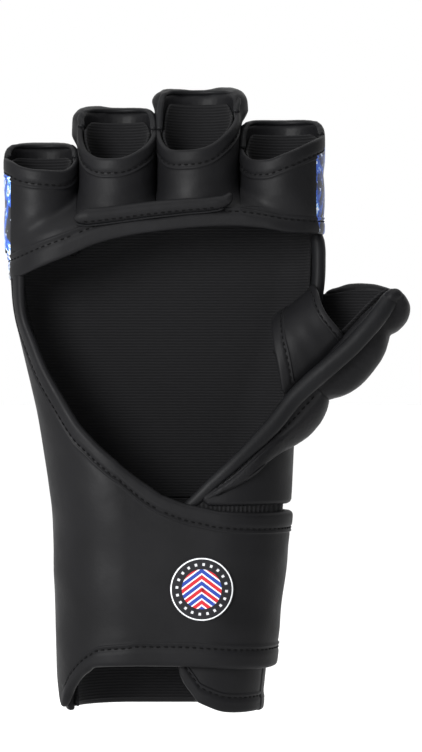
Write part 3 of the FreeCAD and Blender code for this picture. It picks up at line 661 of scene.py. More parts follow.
def make_closure_parts():
    tab = panel("strap_tab_piece", (2.852, 3.0), (20.5, 69.5), 0.97, 2.4, RUBBER,
                "strap_tail", "strap_tab", "tab_rubber", (16, 60))
    for i in range(5):
        line = path(tab[2 + i * 3, [4, 30, -5]], 20)
        rib = tube(f"tab_rib_{i}", line, (0.7, 0.8), RUBBER, 8, up=(0, 1, 0))
        place(rib, "strap_tail", "tab_rubber")
    panel("hook_patch_piece", (2.12, 2.8), (20, 68), 0.645, 0.7, HOOK,
          "strap_tail", "hook_patch", "hook_tape")
    panel("loop_patch_piece", (2.0, 2.95), (18, 70), 0.5, 0.7, LOOP, "hand", "loop_patch", "loop_pile")
    z = np.linspace(18, 73, 30)
    panel("strap_backing", (front_p(-27, z), front_p(31, z)), (18, 73), 0.655, 0.6, LINING,
          "strap_front", "strap_lining", "lining_cloth")

    keys = [front_key(x, UNDERLAP_TOP, low_x, low) for x, low_x, low in UNDERLAP_EDGE]
    keys += [side_key(y, UNDERLAP_TOP, y, UNDERLAP_FOOT) for y in (-12.5, -9, -6.4)]
    rows = lambda length: spread(length, HEM_ROWS, (0.0, 1.0), 14)
    grid = ribbon(keys, 70, 0.43, rows)
    grid = raised(grid, hem_rise(distances(grid)[0], 5.2))
    flap = shell("underlap_flap", grid, 2.2, LEATHER)
    sew("underlap_stitches", [offset_line(grid, 4.8)], "underlap")
    lined = ribbon(keys, 70, 0.14, lambda length: np.linspace(0.04, 1, 16))
    back = shell("underlap_knit", lined, 0.7, LINING)
    place(flap, "underlap", "black_leather", "underlap")
    place(back, "underlap", "lining_cloth", "underlap_lining")
    cloth(grid)
    cloth(lined)


def make_badge():
    """A round printed badge that follows the strap's curve."""
    x0, z0, size = BADGE
    radii = np.array([0.02, 2, 4, 6, 8, 9.5, 10.8, 11.4, 11.75, 11.9]) / 11.9 * size
    domes = np.array([0.75, 0.75, 0.75, 0.75, 0.75, 0.75, 0.75, 0.7, 0.45, 0.0])
    turns = full_turn(72)
    x = x0 + radii[None, :] * np.cos(turns)[:, None]
    z = z0 + radii[None, :] * np.sin(turns)[:, None]
    base = skin(front_p(x, z), z, 0.975)
    ahead = skin(front_p(x + 0.5, z), z, 0.975)
    n = np.cross(ahead - base, [0, 0, 1.0])
    n /= np.linalg.norm(n, axis=-1, keepdims=True)
    grid = base + n * (0.1 + domes[None, :, None])
    badge = shell("badge_piece", grid[::-1], 0.4, BADGE_PRINT, wrap=True)
    place(badge, "strap_front", "badge_print", "badge")


# ---------------------------------------------------------------- fingers
# where the flat palm turns into the tube of each finger: heights at its left side, then at its right
TURN_IN = {
    "little": (165.5, 173.5, 179, 198), "ring": (179, 198, 181, 198),
    "middle": (181, 198, 184, 200), "index": (184, 200, 167, 184),
}
PALM_HEM = (
    (-63, 160.6), (-59.9, 161.2), (-48, 165.8), (-38, 169.6), (-28, 173.7), (-15, 176.9), (-3, 178.6),
    (10, 179.9), (22.7, 180.4), (34, 179.6), (44.6, 178.1), (58, 177.9),
)
PRINT_EDGE = {"little": -56.0, "index": 53.0}


def sleeve_grid(finger, columns=61):
    """The front of a finger: flat on the palm below, a half tube round the finger above."""
    middle, bore = FINGERS[finger][:2]
    radius = bore + 3.15
    left, right = SLABS[finger]
    u = np.linspace(0, 1, columns)
    p_left = side_p(6.0, 170.0, True) if finger == "little" else front_p(left, 180.0)
    p_right = side_p(6.0, 180.0, False) if finger == "index" else front_p(right, 180.0)
    fine_p = np.linspace(float(p_left), float(p_right), 300)
    run = run_of(skin(fine_p, 180.0, 0.99))
    p_base = np.interp(u * run[-1], run, fine_p)
    base_x = skin(p_base, 180.0, 0.99)[:, 0]
    z_low, turn = curve(PALM_HEM, base_x), -90 + 180 * u
    z_high = curve(HEMS[finger], turn)
    width = np.interp(base_x, [-60, 0, 56], [7.4, 5.9, 5.2])
    grid = []
    for i in range(columns):
        length = z_high[i] - z_low[i]
        share = spread(length, np.array(HEM_ROWS) * width[i] / HEM_WIDTH, HEM_ROWS, 18)
        z = z_low[i] + share * length
        start, end = (TURN_IN[finger][m] * (1 - u[i]) + TURN_IN[finger][m + 2] * u[i] for m in (0, 1))
        s = smooth_step(z, start, end)[:, None]
        a = math.radians(turn[i])
        tube_wall = np.stack([0 * z + middle + radius * math.sin(a), 0 * z - radius * math.cos(a), z], -1)
        grid.append((1 - s) * skin(p_base[i], z, 0.99) + s * tube_wall)
    return np.array(grid), width, turn


def paint(obj, shape, where):
    """Give the outer wall's faces the second material where the grid says."""
    for polygon in obj.data.polygons:
        first = polygon.vertices[0]
        if first < shape[0] * shape[1] and where[divmod(first, shape[1])]:
            polygon.material_index = 1


STITCH_IN = 4.85  # how far the stitches run from a hem's edge


def make_sleeve(finger):
    grid, width, turn = sleeve_grid(finger)
    low, high = distances(grid)
    rise = hem_rise(low, width[:, None]) + hem_rise(high)
    crease = 0.05 * np.sin(grid[..., 2] * 0.9 + np.sin(grid[..., 0] * 0.25) * 2.0)
    crease *= smooth_step(low, 8, 14) * smooth_step(high, 8, 14)
    outer = raised(grid, rise + crease)
    sleeve = shell(f"{finger}_front", outer, 2.0, [LEATHER, PRINT], flat_sides=("u0", "u1"))
    edge = PRINT_EDGE.get(finger)
    if edge:
        paint(sleeve, grid.shape[:2], (turn * np.sign(edge) > abs(edge))[:, None] & (high > 5.4))
    seams = [offset_line(outer, STITCH_IN * width / HEM_WIDTH), offset_line(outer, STITCH_IN, True)]
    for part in (sleeve, sew(f"{finger}_stitches", seams)):
        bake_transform(part)
    place(sleeve, None, "black_leather", f"{finger}_sleeve", *(["palm_band"] if finger == "middle" else []))
    cloth(outer)


def make_finger_lining(finger):
    middle, bore, knuckle = FINGERS[finger]
    turn = full_turn(72)
    degrees = (np.degrees(turn) + 180) % 360 - 180
    front = curve(HEMS[finger], np.clip(degrees, -90, 90)) - 0.9
    top = front + (PAD_TOPS[finger] - 4.6 - front) * smooth_step(np.abs(degrees), 90, 128)
    z = knuckle + 0.4 + (top - knuckle - 0.4)[:, None] * np.linspace(0, 1, 60)
    r = bore + 1.05 + 0.05 * np.sin(z * 2 * math.pi / 1.7)
    grid = np.stack([middle + r * np.sin(turn)[:, None], -r * np.cos(turn)[:, None], z], -1)
    lining = shell(f"{finger}_knit", grid, 0.95, LINING, wrap=True, rim=4)
    place(lining, finger, "lining_cloth", f"{finger}_lining")
    cloth(grid, wrap=True)


def pad_plan(half, back, corner, count):
    """Outside of a finger pad seen from its tip, from the right side round the back."""
    a = np.linspace(0, math.pi / 2, 12)
    right = np.stack([half - corner + corner * np.cos(a), back - corner + corner * np.sin(a)], -1)
    left = right[::-1] * [-1, 1]
    return resample([(half, 0.0), *right, *left, (-half, 0.0)], count)


# the height above which a pad widens over its neighbour on the right, left, and how far
OVERHANG = {"ring": (None, (210.5, 2.8)), "middle": ((219.5, 3.4), (224.0, 1.8))}
PAD_ROWS, PAD_CHANNEL = 34, 17  # the row of the sewn channel across a finger pad


def make_finger_pad(finger):
    middle, bore, knuckle = FINGERS[finger]
    count, rows = 61, PAD_ROWS
    plan = pad_plan(bore + 3.1, 30.4, 9.5, count)
    a = np.radians(np.linspace(90, 270, count))
    inside = np.stack([np.sin(a), -np.cos(a)], -1) * (bore + 1.25)
    thick = np.linalg.norm(plan - inside, axis=1)
    turned = np.degrees(a)
    away = np.minimum(turned - 90, 270 - turned)
    sides = curve(HEMS[finger], np.where(turned < 180, 90.0, -90.0)) + 0.6
    top = sides + (PAD_TOPS[finger] - sides) * np.interp(away, [0, 6, 14, 26, 45], [0, 0.35, 0.68, 0.92, 1])
    dome = 0.62
    rim_z = top - 0.25 * dome * thick
    v = np.linspace(0, 1, rows)
    z = knuckle + 0.5 + (rim_z - knuckle - 0.5)[:, None] * v[None, :]
    push = (0.9 * smooth_step(away, 20, 60))[:, None] * np.sin(np.clip(v, 0, 1) * math.pi)[None, :] ** 0.6
    for right_side, clear in zip((True, False), OVERHANG.get(finger, ())):
        if clear:
            on_side = smooth_step(away, 2, 16) * (1 - smooth_step(away, 62, 85))
            on_side *= (turned < 180) == right_side
            push = push + clear[1] * on_side[:, None] * smooth_step(z, clear[0] + 0.5, clear[0] + 4.5)
    lean = plan / np.linalg.norm(plan, axis=1, keepdims=True)
    ends = smooth_step(v, 0.75, 1.0) + smooth_step(v, 0.12, 0.0)
    channel = bell((v - v[PAD_CHANNEL]) * (rows - 1) / 1.1)
    push = push - smooth_step(away, 25, 50)[:, None] * channel
    push = push - (1.6 * smooth_step(away, 25, 70))[:, None] * ends
    out_xy = plan[:, None, :] + lean[:, None, :] * push[..., None]
    outer = np.concatenate([out_xy + [middle, 0], z[..., None]], -1)
    inner = np.concatenate([np.repeat(inside[:, None, :], rows, 1) + [middle, 0], z[..., None]], -1)
    butts = ("u0", "u1", "v0")
    pad = shell(f"{finger}_pad", outer, 0, [PADDED, PRINT], inner=inner, flat_sides=butts, rim=12, bulge=dome)
    if finger in PRINT_EDGE:
        outside = (turned - 180) * -np.sign(PRINT_EDGE[finger]) > 12
        paint(pad, (count, rows), outside[:, None] & (v < 0.8))
    puff(pad, sewn((count, rows), [(1, PAD_CHANNEL)], butts), 1.1)
    place(pad, finger, "black_leather", f"{finger}_pad_cover", f"{finger}_pad_foam", fill=0.85)
    # folded leather edge round the opening
    share = np.minimum(1.3 / np.maximum(thick, 2.6), 0.5)[:, None]
    edge = inner[:, -1] + (outer[:, -1] - inner[:, -1]) * share
    edge[:, 2] += dome * thick / 2 * 0.62
    trim = tube(f"{finger}_trim", path(edge, 90), (1.3, 1.0), TRIM, 10, up=(0, 0, 1))
    place(trim, finger, "trim_leather")


SIM_SCALE = 25.0  # Blender's cloth behaves best on metre-sized things
SIM_FRAMES = 20


def puff(pad, held, cap, pressure=6.0):
    """Fill a pad with air for a moment, so that its cover swells between its seams.
    held are the vertices that are sewn down; nothing moves further than cap (mm)."""
    smooth = pad.modifiers.new("smooth", "SUBSURF")
    smooth.levels = smooth.render_levels = 1
    start = np.empty((len(pad.data.vertices), 3))
    pad.data.vertices.foreach_get("co", start.ravel())
    rng = np.random.default_rng(11)
    large = (start - start.mean(axis=0)) * SIM_SCALE
    mesh = pad.data.copy()
    mesh.vertices.foreach_set("co", (large + rng.normal(0, 0.0012, start.shape)).ravel())
    body = link("puffing", mesh)
    body.vertex_groups.new(name="held").add([int(i) for i in held], 1.0, "REPLACE")
    cover = body.modifiers.new("Cloth", "CLOTH")
    cover.point_cache.frame_start, cover.point_cache.frame_end = 1, SIM_FRAMES
    settings = cover.settings
    settings.quality = 5
    settings.use_pressure, settings.uniform_pressure_force = True, pressure
    settings.vertex_group_mass = "held"
    settings.effector_weights.gravity = 0.0
    for frame_number in range(1, SIM_FRAMES + 1):
        bpy.context.scene.frame_set(frame_number)
    after = body.evaluated_get(bpy.context.evaluated_depsgraph_get()).to_mesh()
    end = np.empty_like(start)
    after.vertices.foreach_get("co", end.ravel())
    move = (end - large) / SIM_SCALE
    far = np.linalg.norm(move, axis=1, keepdims=True)
    move *= np.tanh(far / (cap * MM)) * cap * MM / np.maximum(far, 1e-9)
    pad.data.vertices.foreach_set("co", (start + move).ravel())
    pad.data.update()
    bpy.data.objects.remove(body)
    bpy.data.meshes.remove(mesh)
    bpy.context.scene.frame_set(1)


def sewn(shape, outer_lines=(), edges=("u0", "u1", "v0")):
    """The vertices of a shell that are sewn down: its inner wall, the named edges of its
    outer wall and any (axis, number) grid lines."""
    index = np.arange(shape[0] * shape[1]).reshape(shape)
    lines = [("uv".index(edge[0]), -int(edge[1])) for edge in edges] + list(outer_lines)
    held = [index.take(number, axis) for axis, number in lines]
    return np.unique(np.concatenate([index.ravel() + index.size, *held]))


def make_roll():
    """The grip roll across the ring and middle fingers."""
    line = ((-35.2, 182.3), (-31.1, 183.0), (-25.9, 183.5), (-20, 184.2), (-7.8, 185.8), (6.3, 187.2),
            (15.2, 187.9), (20.7, 189.2), (22.6, 191.4))
    x, z = path(line, 90).T
    share = np.linspace(0, 1, len(x))
    y = skin(front_p(x, z), z, 0.99)[:, 1] - 1.2
    half = np.interp(share, [0, 0.03, 0.08, 0.5, 0.9, 0.97, 1], [1.0, 2.2, 3.0, 2.8, 2.5, 2.0, 1.0])
    out = np.interp(share, [0, 0.03, 0.08, 0.9, 0.97, 1], [0.8, 1.7, 2.3, 2.2, 1.8, 0.9])
    centres = np.stack([x, y, z], -1)
    roll = tube("grip_roll_cover", centres, np.stack([half, out], -1), LEATHER, 22)
    place(roll, "hand", "trim_leather", "grip_roll", fill=0.7)
    low = centres + np.stack([0 * x, -out * 0.72, -half * 0.66], -1)
    normals = np.tile([0, -0.75, -0.66], (len(x), 1))
    ridge = centres + np.stack([0 * x, -out * 0.02, -half - 0.35], -1)
    sew("roll_stitches", [(low[4:-8], normals[4:-8])], "hand")
    place(tube("roll_seam", ridge[1:-6], (0.42, 0.42), TRIM, 8), "hand", None)


# ---------------------------------------------------------------- hand
def back_p(x, z):
    """The p of a point seen from behind."""
    return 3 - front_p(x, z)


def knuckle_line(x):
    """Where the hand back ends under the finger pads."""
    steps, heights = (-35.2, -33.6, -6.0, -4.4, 25.0, 26.6), (169.6, 186.6, 186.6, 189.0, 189.0, 181.6)
    return np.interp(x, steps, heights)


def round_back(depth, count):
    """The p values from the thumb side round the back to the little-finger side."""
    return np.linspace(side_p(6.3, 150, False, depth), 4 + side_p(6.3, 150, True, depth), count)


BACK_GROOVES = (104.0, 128.0, 146.5)


def make_hand_back():
    columns, rows = 150, 80
    p = round_back(1.0, columns)
    x = skin(p, 170.0, 1.0)[:, 0]
    z = 78.4 + (knuckle_line(x) - 78.4)[:, None] * np.linspace(0, 1, rows)
    grid = skin(p[:, None], z, 0.97)
    from_side = np.minimum(np.arange(columns), np.arange(columns)[::-1])
    soft = smooth_step(distances(grid)[0], 0, 9) * smooth_step(from_side, 0, 12)[:, None]
    grooves = sum(bell((z - line) / 1.5) for line in BACK_GROOVES)
    rise = 1.2 * soft * (1 - 0.9 * np.clip(grooves, 0, 1)) - 0.6
    outer = raised(grid, rise)
    cover = shell("hand_back", outer, 3.0, [PRINT, LEATHER])
    for polygon in cover.data.polygons:
        middle = polygon.center / MM
        printed = abs(middle.x) < 44 and middle.y > 18 or middle.x < -40 and middle.z > 158
        polygon.material_index = 0 if printed else 1
    place(cover, "hand", "printed_leather", "hand_back_cover", "hand_back_foam", fill=0.7)
    sewn_rows = [nearest(z[columns // 2], height) for height in BACK_GROOVES[:2]]
    normals = grid_normals(outer)
    sew("hand_back_stitches", [(outer[6:-6, k], normals[6:-6, k]) for k in sewn_rows], "hand")

    inside_z = 78.6 + (knuckle_line(x) + 0.1 - 78.6)[:, None] * np.linspace(0, 1, 60)
    inside = skin(round_back(0.1, columns)[:, None], inside_z, 0.12)
    lined = shell("hand_back_knit", inside, 0.9, LINING)
    cloth(inside)
    place(lined, "hand", "lining_cloth", "hand_back_lining")


def make_knuckle_pad():
    """Four padded lobes over the knuckles on one cover."""
    columns, rows = 160, 50
    x = np.linspace(48.5, -48.5, columns)
    top = knuckle_line(x) - 1.2
    for _ in range(3):  # soften the steps between fingers
        top = np.convolve(np.pad(top, 3, "edge"), np.ones(7) / 7, "valid")
    v = np.linspace(0, 1, rows)
    z = 148.6 + (top - 148.6)[:, None] * v[None, :]
    grid = skin(back_p(x[:, None], z), z, 0.97)
    edges = [-49.0] + [SLABS[finger][0] for finger in ("ring", "middle", "index")] + [49.0]
    lobe = np.abs(np.sin(np.interp(x, edges, np.arange(len(edges))) * math.pi)) ** 0.42
    height = 6.6 * lobe[:, None] * (np.sin(v * math.pi) ** 0.36)[None, :] + 0.4
    outer = raised(grid, height)
    pad = shell("knuckle_pad", outer, 0, PADDED, inner=raised(grid, np.full_like(z, -0.6)), bulge=0.6)
    seams = [(0, nearest(x, edge)) for edge in edges[1:-1]]
    puff(pad, sewn((columns, rows), seams, ("u0", "u1", "v0", "v1")), 0.8, 3.0)
    place(pad, "hand", "black_leather", "knuckle_pad_cover", "knuckle_pad_foam", fill=0.8)


def make_side_binding():
    """The rolled edge of the hand back beside the window, on the thumb side."""
    points = ((54.6, 1.7, 178.5), (55.6, 2.0, 170), (55.4, 2.5, 160), (53.9, 2.9, 150), (51.2, 3.2, 141),
              (48.6, 3.5, 132))
    thick = np.interp(np.linspace(0, 1, 80), [0, 0.08, 0.9, 1], [2.0, 2.7, 2.4, 1.4])
    roll = tube("window_binding", path(points, 80), np.stack([thick, thick * 1.45], -1), TRIM, 18)
    place(roll, "hand", "trim_leather")


def make_walls():
    """Linings and the plain walls of the wrist."""
    def lining(name, p_range, z_range, depth, old, counts):
        panel(name, p_range, z_range, depth, 0.8, LINING, "hand", old, "lining_cloth", counts)

    def wrist(depth):
        """From the thumb side round the back of the wrist to the little-finger side."""
        return side_p(-6.0, 40, False, depth), 4 + side_p(-6.0, 40, True, depth)

    window = np.array(WINDOW)[::-1]
    z_left, z_right = np.linspace(5, 158, 90), np.linspace(21, 158, 90)
    edge_x = np.minimum(np.interp(z_right, window[:, 1], window[:, 0]) - 2.0, -22.0)
    side = side_p(6.0, z_left, True, 0.1), front_p(edge_x, z_right, 0.1)
    low = np.interp(np.linspace(0, 1, 40), [0, 0.4, 0.7, 1], [5, 9, 18, 21])
    lining("side_knit", side, (low, 158.0), 0.16, "side_panel_lining", (40, 90))
    panel("wrist_back", wrist(1.0), (0.6, 77.6), 0.47, 2.6, LEATHER,
          "hand", "cuff_back", "black_leather", (90, 60), hem=True)
    lining("wrist_knit", wrist(0.1), (1.6, 77.4), 0.1, "cuff_lining", (90, 60))
    elastic = (front_p(9.0, 70, 0.6), side_p(-6.4, 70, False, 0.6))
    panel("wrist_web", elastic, (61.2, 78.0), 0.62, 1.8, ELASTIC,
          "hand", "wrist_elastic", "elastic_web", (70, 16))
    palm = front_p(-33, 172, 0.4), front_p(36, 172, 0.4)
    low = curve(PALM_HEM, skin(np.linspace(*palm, 120), 172.0, 0.4)[:, 0]) + 2.4
    lining("palm_knit", palm, (low, low + 4.6), 0.4, "palm_band_lining", (120, 20))


# ---------------------------------------------------------------- thumb
THUMB = np.array([[0.743, 0, -0.669], [0, 1, 0], [0.669, 0, 0.743]])
THUMB_AT = np.array([43.3, 0.0, 129.4])


def thumb_point(local):
    """From the thumb's own frame (outward, depth, along) to the glove's."""
    return THUMB_AT + np.asarray(local, float) @ THUMB


def thumb_lathe(turn, along, radius):
    turn, along, radius = np.broadcast_arrays(np.radians(turn), along, radius)
    return thumb_point(np.stack([radius * np.cos(turn), radius * np.sin(turn), along], -1))


LOOP_LOW = ((118, 11.5), (165, 11.2), (194, 8.7), (222, 5), (243, 1.4), (264, -2), (300, -8.4))
LOOP_HIGH = ((118, 27.5), (180, 27.8), (216, 26.8), (238, 24.6), (257, 22.9), (283, 21.7), (300, 21))


def loop_radius(turn, along):
    side = np.clip(np.cos(np.radians(turn - 205)), 0, 1) ** 0.7
    return 15.1 - 3.2 * smooth_step(along, 5, 27) * side


PAD_END = ((-50, 38), (-44, 44.5), (-30, 45.6), (30, 45.6), (60, 43), (85, 38), (112, 31), (135, 28.5),
           (150, 28.2))


def make_thumb_loop():
    turn = np.linspace(120, 306, 70)
    low, high = curve(LOOP_LOW, turn), curve(LOOP_HIGH, turn)
    near, far = np.outer((0.82, 0.34), HEM_ROWS)
    along = np.array([a + spread(b - a, near, far, 16) * (b - a) for a, b in zip(low, high)])
    turn = turn[:, None] + (smooth_step(along, -8, 20) * 14 - 7) * ((turn - 120) / 186)[:, None] ** 2
    grid = thumb_lathe(turn, along, loop_radius(turn, along))
    near, far = distances(grid)
    rise = hem_rise(near, 4.5, 0.4) + hem_rise(far, 1.9, 0.3)
    rise += 0.08 * np.sin(along * 0.8 + turn * 0.06) * smooth_step(near, 6, 10) * smooth_step(far, 3, 7)
    outer = raised(grid, rise)
    loop = shell("thumb_loop_cover", outer, 1.9, LEATHER)
    sew("thumb_loop_stitches", [offset_line(outer, 4.0), offset_line(outer, 1.75, True)], "thumb")
    place(loop, "thumb", "black_leather", "thumb_loop")


def make_thumb_lining():
    turn = np.linspace(0, 360, 97)[:-1]
    on_pad = smooth_step(np.cos(np.radians(turn - 37)), 0.12, 0.45)
    around = (turn + 60) % 360 - 60
    low = curve(LOOP_LOW, np.clip(turn, 120, 299)) + 1.0
    low = low * (1 - on_pad) + 0.5 * on_pad
    high = curve(LOOP_HIGH, np.clip(turn, 120, 299)) - 0.6
    high = np.where((around > -50) & (around < 150), curve(PAD_END, around) - 0.8, high)
    along = low[:, None] + (high - low)[:, None] * np.linspace(0, 1, 60)
    radius = loop_radius(turn[:, None], along) - 2.1 + 1.2 * smooth_step(along, 30, 44) * on_pad[:, None]
    wall = thumb_lathe(turn[:, None], along, radius)
    lined = shell("thumb_knit", wall, 0.95, LINING, wrap=True, rim=4)
    cloth(wall, wrap=True)
    place(lined, "thumb", "lining_cloth", "thumb_lining")


THUMB_OUTLINE = (
    (-1, 21.0), (1, 21.7), (5, 24.2), (9.8, 25.9), (15, 26.5), (20.6, 26.2), (25, 25.7), (28.4, 24.7),
    (31.5, 23.2), (33.6, 22.3), (36, 23.1), (40.3, 23.5), (44.3, 22.3), (47, 20.4),
)
THUMB_BASE = ((-44, 19.4), (-34, 19.8), (-20, 20.5), (60, 20.5), (90, 18.8), (112, 15.9))
THUMB_SWELL = ((-44, 0.0), (-37, 0.0), (-26, 0.62), (-8, 1), (50, 1), (90, 0.6), (112, 0))
THUMB_SEAM, THUMB_NOTCH = -36.5, 33.6  # the turn of the sewn channel and the height of the dip


def make_thumb_pad():
    count, rows = 76, 80
    turn = np.linspace(-44, 112, count)
    end = curve(PAD_END, turn)
    along = -0.2 + (end + 0.2)[:, None] * np.linspace(0, 1, rows)
    base, share = curve(THUMB_BASE, turn)[:, None], curve(THUMB_SWELL, turn)[:, None]
    groove = 0.5 * bell((turn - THUMB_SEAM) / 1.6)[:, None]
    radius = base + share * (curve(THUMB_OUTLINE, along) - 20.5) - groove
    outer = thumb_lathe(turn[:, None], along, radius)
    inner = thumb_lathe(turn[:, None], along, 13.45 + 1.2 * smooth_step(along, 30, 44))
    pad = shell("thumb_pad", outer, 0, PADDED, inner=inner, flat_sides=("v0",), rim=12, bulge=0.85)
    strip = nearest(turn, THUMB_SEAM)
    notch = nearest(along[40], THUMB_NOTCH)
    puff(pad, sewn((count, rows), [(0, k) for k in range(strip + 1)] + [(1, notch)]), 0.7)
    place(pad, "thumb", "black_leather", "thumb_pad_cover", "thumb_pad_foam", fill=0.85)
    k = nearest(turn, THUMB_SEAM - 4)
    sew("thumb_pad_stitches", [(outer[k, 4:-4], grid_normals(outer)[k, 4:-4])], "thumb")


BINDING = (  # in the thumb's frame: outward, depth, along, then the roll's radius
    (8.4, -21.0, -66, 2.1), (8.9, -22.0, -60, 2.2), (9.4, -22.6, -52, 2.3), (10.2, -22.4, -44.7, 2.5),
    (10.8, -21.6, -38, 2.7), (11.3, -20.2, -30, 2.9), (11.6, -18.4, -21, 3.1), (10.9, -16.2, -8, 3.3),
    (11.4, -15.6, 0, 3.45), (12.7, -15.4, 10, 3.5), (13.8, -15.2, 20, 3.5), (13.9, -14.8, 30, 3.5),
    (13.4, -13.4, 38, 3.4), (12.8, -11.2, 42.0, 3.2), (12.6, -7.8, 44.2, 2.9), (12.8, -4.0, 45.1, 2.6),
    (13.4, -0.5, 45.4, 2.2),
)


def make_binding():
    line = path(BINDING, 150)
    roll = tube("thumb_edge_binding", thumb_point(line[:, :3]), line[:, [3, 3]] * [1, 0.8], TRIM, 20)
    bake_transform(roll)
    place(roll, None, "trim_leather", "thenar_binding", "thumb_binding")


THENAR = (  # in the thumb's frame: along, then the cover's outline there as (outward, depth)
    (0.2, (14.1, -13.7), (17.2, -11.6), (20.6, -7.5), (21.6, 0), (20.6, 8), (15, 14.5), (8, 17.5)),
    (-3, (14.1, -14.2), (17.2, -12.2), (21.4, -8), (23.2, 0), (22, 8.5), (15.8, 15), (8.5, 17.8)),
    (-9.7, (14.0, -15.2), (17.0, -13.6), (21.9, -9), (24.8, 0), (23.4, 8.8), (18, 14), (12, 16.5)),
    (-14.7, (14.0, -16.0), (17.0, -14.9), (21.8, -9.8), (24.7, -0.5), (23.2, 8), (19.5, 12.4), (15, 14)),
    (-20.3, (13.9, -17.2), (16.8, -16.8), (20.8, -12.2), (23.1, -4), (22.6, 2), (21, 6), (18.4, 8.4)),
    (-26, (13.7, -18.7), (16.3, -19.4), (19.4, -16.6), (20.8, -11.5), (20.7, -7), (19.9, -4), (18.2, -2.4)),
    (-32, (13.5, -20.4), (15.6, -22.2), (17.9, -21.2), (19.2, -18.2), (19.2, -15.4), (18.6, -13.6), (17.6, -12)),
    (-38, (13.2, -21.9), (15, -24.2), (17.2, -24.0), (18.8, -22.2), (18.9, -19.8), (18.3, -18.4), (17.4, -17.4)),
    (-44.7, (12.5, -22.8), (14, -25.2), (15.8, -25.4), (17.1, -24.0), (17.2, -22), (16.8, -20.8), (16.2, -20)),
    (-51, (11.5, -23.2), (12.5, -25.3), (13.7, -25.5), (14.6, -24.6), (14.7, -22.8), (14.4, -21.8), (14, -21.3)),
    (-57, (11, -23.3), (11.3, -24.2), (11.7, -24.3), (12, -24), (12, -23), (11.9, -22.5), (11.8, -22.2)),
)


def make_thenar():
    rows, columns = 110, 60
    stops, outlines = [row[0] for row in THENAR][::-1], np.array([row[1:] for row in THENAR])[::-1]
    along = np.linspace(-57, 0.2, rows)
    outlines = curves(stops, outlines.reshape(len(THENAR), -1), along).reshape(rows, -1, 2)
    grid = [np.insert(path(outline, columns), 2, at, axis=1) for outline, at in zip(outlines, along)]
    outer = thumb_point(np.array(grid).transpose(1, 0, 2))
    strip = bell((np.linspace(0, 1, columns) - 0.12) / 0.03)[:, None] * smooth_step(along, -57, -48)
    outer = raised(outer, -0.5 * strip)
    thick = (2.2 + 2.2 * smooth_step(along, -57, -30))[None, :].repeat(columns, 0)
    pad = shell("thenar_pad", outer, thick, PADDED, flat_sides=("v1",), bulge=0.7)
    puff(pad, sewn((columns, rows), [(0, k) for k in range(9)], ("u0", "u1", "v0", "v1")), 0.5)
    place(pad, "hand", "black_leather", "thenar_pad_cover", "thenar_pad_foam", fill=0.8)
    seam = 3
    sew("thenar_stitches", [(outer[seam, 8:-3], grid_normals(outer)[seam, 8:-3])], "hand")


def make_thenar_side():
    """The plain leather between the thenar pad and the wrist."""
    front = ((13.2, 79.4, 14.6), (16, 81.5, 22), (20, 84.5, 29), (25, 89, 36))
    keys = [front_key(x, z, far_x, 78.2) for x, z, far_x in front]
    for x, z, y, far in ((30, 94, -10, 78.2), (35, 99.5, 6, 80), (40, 105.5, 6, 92), (44.2, 111.5, 6, 104),
                         (46.4, 117, 6, 114)):
        keys.append((front_p(x, z), z, side_p(y, far, False), far))
    grid = ribbon(keys, 80, 0.9, lambda length: np.linspace(0, 1, 50))
    place(shell("thenar_side", grid, 3.4, LEATHER), "hand", "black_leather", "thenar_panel")


make_strap()
make_closure_parts()
make_badge()
for finger in FINGERS:
    make_sleeve(finger)
    make_finger_lining(finger)
    make_finger_pad(finger)
make_roll()
make_hand_back()
make_knuckle_pad()
make_walls()
make_side_binding()
make_thumb_loop()
make_thumb_lining()
make_thumb_pad()
make_binding()
make_thenar()
make_thenar_side()


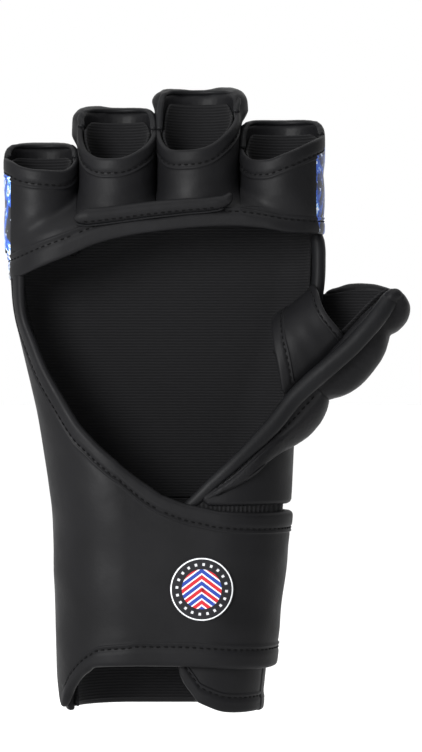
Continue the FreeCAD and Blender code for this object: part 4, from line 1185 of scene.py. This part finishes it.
# ---------------------------------------------------------------- floor, light and camera
def make_floor():
    """A wide pale floor, well below the glove."""
    sides, low = 96, -60
    turns = full_turn(sides)
    vertices = [(0, 0, low)] + [(r * math.cos(a), r * math.sin(a), low) for r in (1500, 40000) for a in turns]
    near, far = 1 + np.arange(2 * sides).reshape(2, sides)
    faces = [(0, start, end) for start, end in zip(near, np.roll(near, -1))] + join(far, near)
    material, tree, principled = shader("pale_floor", 0.9)
    tone = ramp(tree, noise_at(tree, 3.0), [(0.3, (0.90, 0.90, 0.90)), (0.7, (0.92, 0.92, 0.92))])
    tree.links.new(tone, principled.inputs["Base Color"])
    add_object("floor", vertices, faces, material)


def light(name, at, aim, size, power):
    lamp = bpy.data.lights.new(name, "AREA")
    lamp.size, lamp.energy = size, power
    obj = link(name, lamp)
    obj.location = at
    obj.rotation_euler = (Vector(aim) - Vector(at)).to_track_quat("-Z", "Y").to_euler()


def make_studio():
    aim = (0.01, 0.0, 0.12)
    light("key", (-0.75, -1.3, 0.5), aim, 0.6, 40)
    light("top", (0.1, -0.3, 1.3), aim, 0.8, 5)
    sun = bpy.data.lights.new("overhead", "SUN")
    sun.energy, sun.angle = 1.05, 2.4
    link("overhead", sun)
    bpy.context.scene.view_settings.view_transform = "Standard"
    world = bpy.data.worlds.new("studio")
    bpy.context.scene.world = world
    world.use_nodes = True
    tree = world.node_tree
    inputs = {0: node(tree, "ShaderNodeTexCoord").outputs["Generated"], 1: (0.62, -0.75, -0.2)}
    toward = node(tree, "ShaderNodeVectorMath", inputs, operation="DOT_PRODUCT").outputs["Value"]
    shade = ramp(tree, toward, [(0.0, (1.0, 1.0, 1.0)), (0.6, (0.05, 0.05, 0.05))], "EASE")
    tree.links.new(shade, tree.nodes["Background"].inputs["Color"])
    camera = bpy.data.cameras.new("camera")
    camera.lens, camera.sensor_width, camera.sensor_fit = 150, 36, "AUTO"
    obj = link("camera", camera)
    obj.location = (0.0152, -0.015 - 0.278 * camera.lens / camera.sensor_width, 0.1243)
    obj.rotation_euler = (math.pi / 2, 0, 0)
    camera.clip_start, camera.clip_end = 0.01, 20
    bpy.context.scene.camera = obj


make_floor()
make_studio()
